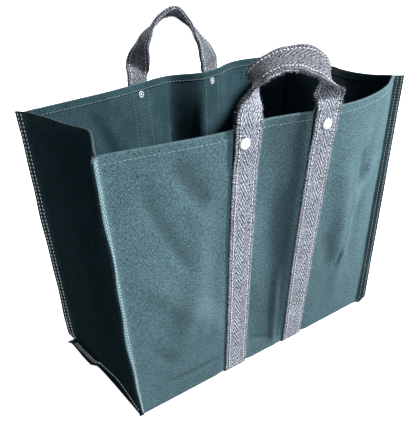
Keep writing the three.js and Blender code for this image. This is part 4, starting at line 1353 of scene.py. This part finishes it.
class BAG_OT_rivets(bpy.types.Operator):
    """Set the rivets and their burrs"""
    bl_idname = "bag.rivets"
    bl_label = "Rivets"

    def execute(self, context):
        scene = context.scene
        shape, rivet = BagShape(scene), scene.bag_rivet
        finish = material("Rivet", rivet_finish, rivet.colour)
        plate = material("Burr", rivet_finish, rivet.burr_colour)
        head, tall, burr = rivet.head_radius / MM, rivet.head_height / MM, rivet.burr_radius / MM
        seat = shape.canvas / 2 + 2 * shape.webbing + 3 * GAP
        top = -shape.canvas / 2 - GAP
        for name, place, way in shape.rivets():
            dome = [(head * math.cos(a), seat + 0.5 + (tall - 0.5) * math.sin(a))
                    for a in np.radians(np.arange(0, 90, 9))]
            outline = [(0.7, top - 1.0), (1.3, top - 0.85), (1.6, top - 0.4), (1.6, seat),
                       (head * 0.96, seat), (head, seat + 0.25), *dome, (0.25, seat + tall)]
            obj = turned_object(f"rivet_cap_{name}", outline, place, way, finish, rivet.sides)
            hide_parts(f"rivet_{name}")
            middle, thick = burr * 0.85, burr * 0.15
            ring = [(middle + thick * math.cos(a), top - 0.5 - 0.45 * math.sin(a))
                    for a in np.radians(np.arange(0, 181, 20))]
            ring += [(middle - thick, top), (middle + thick, top)]
            obj = turned_object(f"burr_ring_{name}", ring, place, way, plate, rivet.sides,
                                closed=True)
            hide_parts(f"burr_{name}")
        return {"FINISHED"}


class BAG_OT_stage(bpy.types.Operator):
    """Set up the studio floor, the light and the camera"""
    bl_idname = "bag.stage"
    bl_label = "Studio"

    def execute(self, context):
        scene, stage = context.scene, context.scene.bag_stage
        paper = material("Studio paper", studio_finish, stage.floor_colour, stage.glow)
        segments, reach = 64, 6.0
        rings = [(reach * 0.5, 0.0), (reach * 0.8, 0.0), (reach * 0.93, 0.12), (reach, 0.6), (reach, 5.0),
                 (reach * 0.7, 7.5), (0.4, 8.5)]
        vertices, faces = [(0.0, 0.0, 0.0)], []
        turns = np.linspace(0, 2 * math.pi, segments, endpoint=False)
        for radius, high in rings:
            vertices += [(radius * math.cos(a), radius * math.sin(a), high) for a in turns]
        for k in range(segments):
            faces.append((0, 1 + k, 1 + (k + 1) % segments))
        for r in range(len(rings) - 1):
            for k in range(segments):
                a, b = 1 + r * segments, 1 + (r + 1) * segments
                faces.append((a + k, b + k, b + (k + 1) % segments, a + (k + 1) % segments))
        mesh = bpy.data.meshes.new("studio_floor")
        mesh.from_pydata(vertices, [], faces)
        mesh.shade_smooth()
        mesh.materials.append(paper)
        floor = bpy.data.objects.new("studio_floor", mesh)
        scene.collection.objects.link(floor)
        floor.visible_diffuse = False
        floor.visible_glossy = False
        self.light("key", (1.74, -1.5, 1.4), (0.0, 0.0, 0.25), 0.3, stage.key)
        self.light("front", (-0.3, -2.6, 0.42), (0.0, 0.0, 0.2), 0.8, stage.front)
        self.light("back", (0.5, 2.2, 1.5), (0.0, 0.0, 0.2), 1.2, stage.key * 0.5)
        world = scene.world or bpy.data.worlds.new("Studio")
        scene.world = world
        world.use_nodes = True
        background = next(node for node in world.node_tree.nodes if node.type == "BACKGROUND")
        background.inputs["Color"].default_value = (0.6, 0.9, 1.0, 1.0)
        background.inputs["Strength"].default_value = stage.fill
        scene.view_settings.view_transform = "Standard"
        self.camera(scene, stage)
        return {"FINISHED"}

    def light(self, name, place, target, size, power):
        data = bpy.data.lights.new(name, "AREA")
        data.energy, data.size = power, size
        lamp = bpy.data.objects.new(name, data)
        lamp.location = place
        lamp.rotation_euler = (Vector(target) - Vector(place)).to_track_quat("-Z", "Y").to_euler()
        bpy.context.scene.collection.objects.link(lamp)

    def camera(self, scene, stage):
        azimuth, elevation, roll = CAMERA_ANGLES
        level = math.cos(elevation)
        back = Vector((math.sin(azimuth) * level, -math.cos(azimuth) * level, math.sin(elevation)))
        right = (-back).cross(Vector((0, 0, 1))).normalized()
        up = right.cross(-back)
        across = math.cos(roll) * right + math.sin(roll) * up
        above = -math.sin(roll) * right + math.cos(roll) * up
        data = bpy.data.cameras.new("camera")
        data.lens, data.sensor_width, data.sensor_fit = stage.lens, 36.0, "AUTO"
        camera = bpy.data.objects.new("camera", data)
        matrix = Matrix((across, above, back)).transposed().to_4x4()
        matrix.translation = Vector(CAMERA_PLACE)
        camera.matrix_world = matrix
        scene.collection.objects.link(camera)
        scene.camera = camera


class BAG_PT_panel(bpy.types.Panel):
    """Sizes, colours and pieces of the bag"""
    bl_label = "Grocery Bag"
    bl_idname = "BAG_PT_panel"
    bl_space_type = "VIEW_3D"
    bl_region_type = "UI"
    bl_category = "Grocery Bag"

    def draw(self, context):
        for group in GROUPS:
            settings = getattr(context.scene, group)
            box = self.layout.box()
            for name in settings.__annotations__:
                box.prop(settings, name)
        for operator in OPERATORS:
            self.layout.operator(operator.bl_idname)


GROUPS = {"bag_canvas": BAG_PG_canvas, "bag_webbing": BAG_PG_webbing, "bag_stitch": BAG_PG_stitch,
          "bag_rivet": BAG_PG_rivet, "bag_stage": BAG_PG_stage}
OPERATORS = (BAG_OT_stage, BAG_OT_body, BAG_OT_gussets, BAG_OT_webbing, BAG_OT_rivets, BAG_OT_stitches,
             BAG_OT_fibres)


def register():
    for group in (*GROUPS.values(), *OPERATORS, BAG_PT_panel):
        bpy.utils.register_class(group)
    for name, group in GROUPS.items():
        setattr(bpy.types.Scene, name, PointerProperty(type=group))


def unregister():
    for name in GROUPS:
        delattr(bpy.types.Scene, name)
    for group in reversed((*GROUPS.values(), *OPERATORS, BAG_PT_panel)):
        bpy.utils.unregister_class(group)


def main():
    register()
    for operator in OPERATORS:
        group, name = operator.bl_idname.split(".")
        getattr(getattr(bpy.ops, group), name)()


if __name__ == "__main__":
    main()
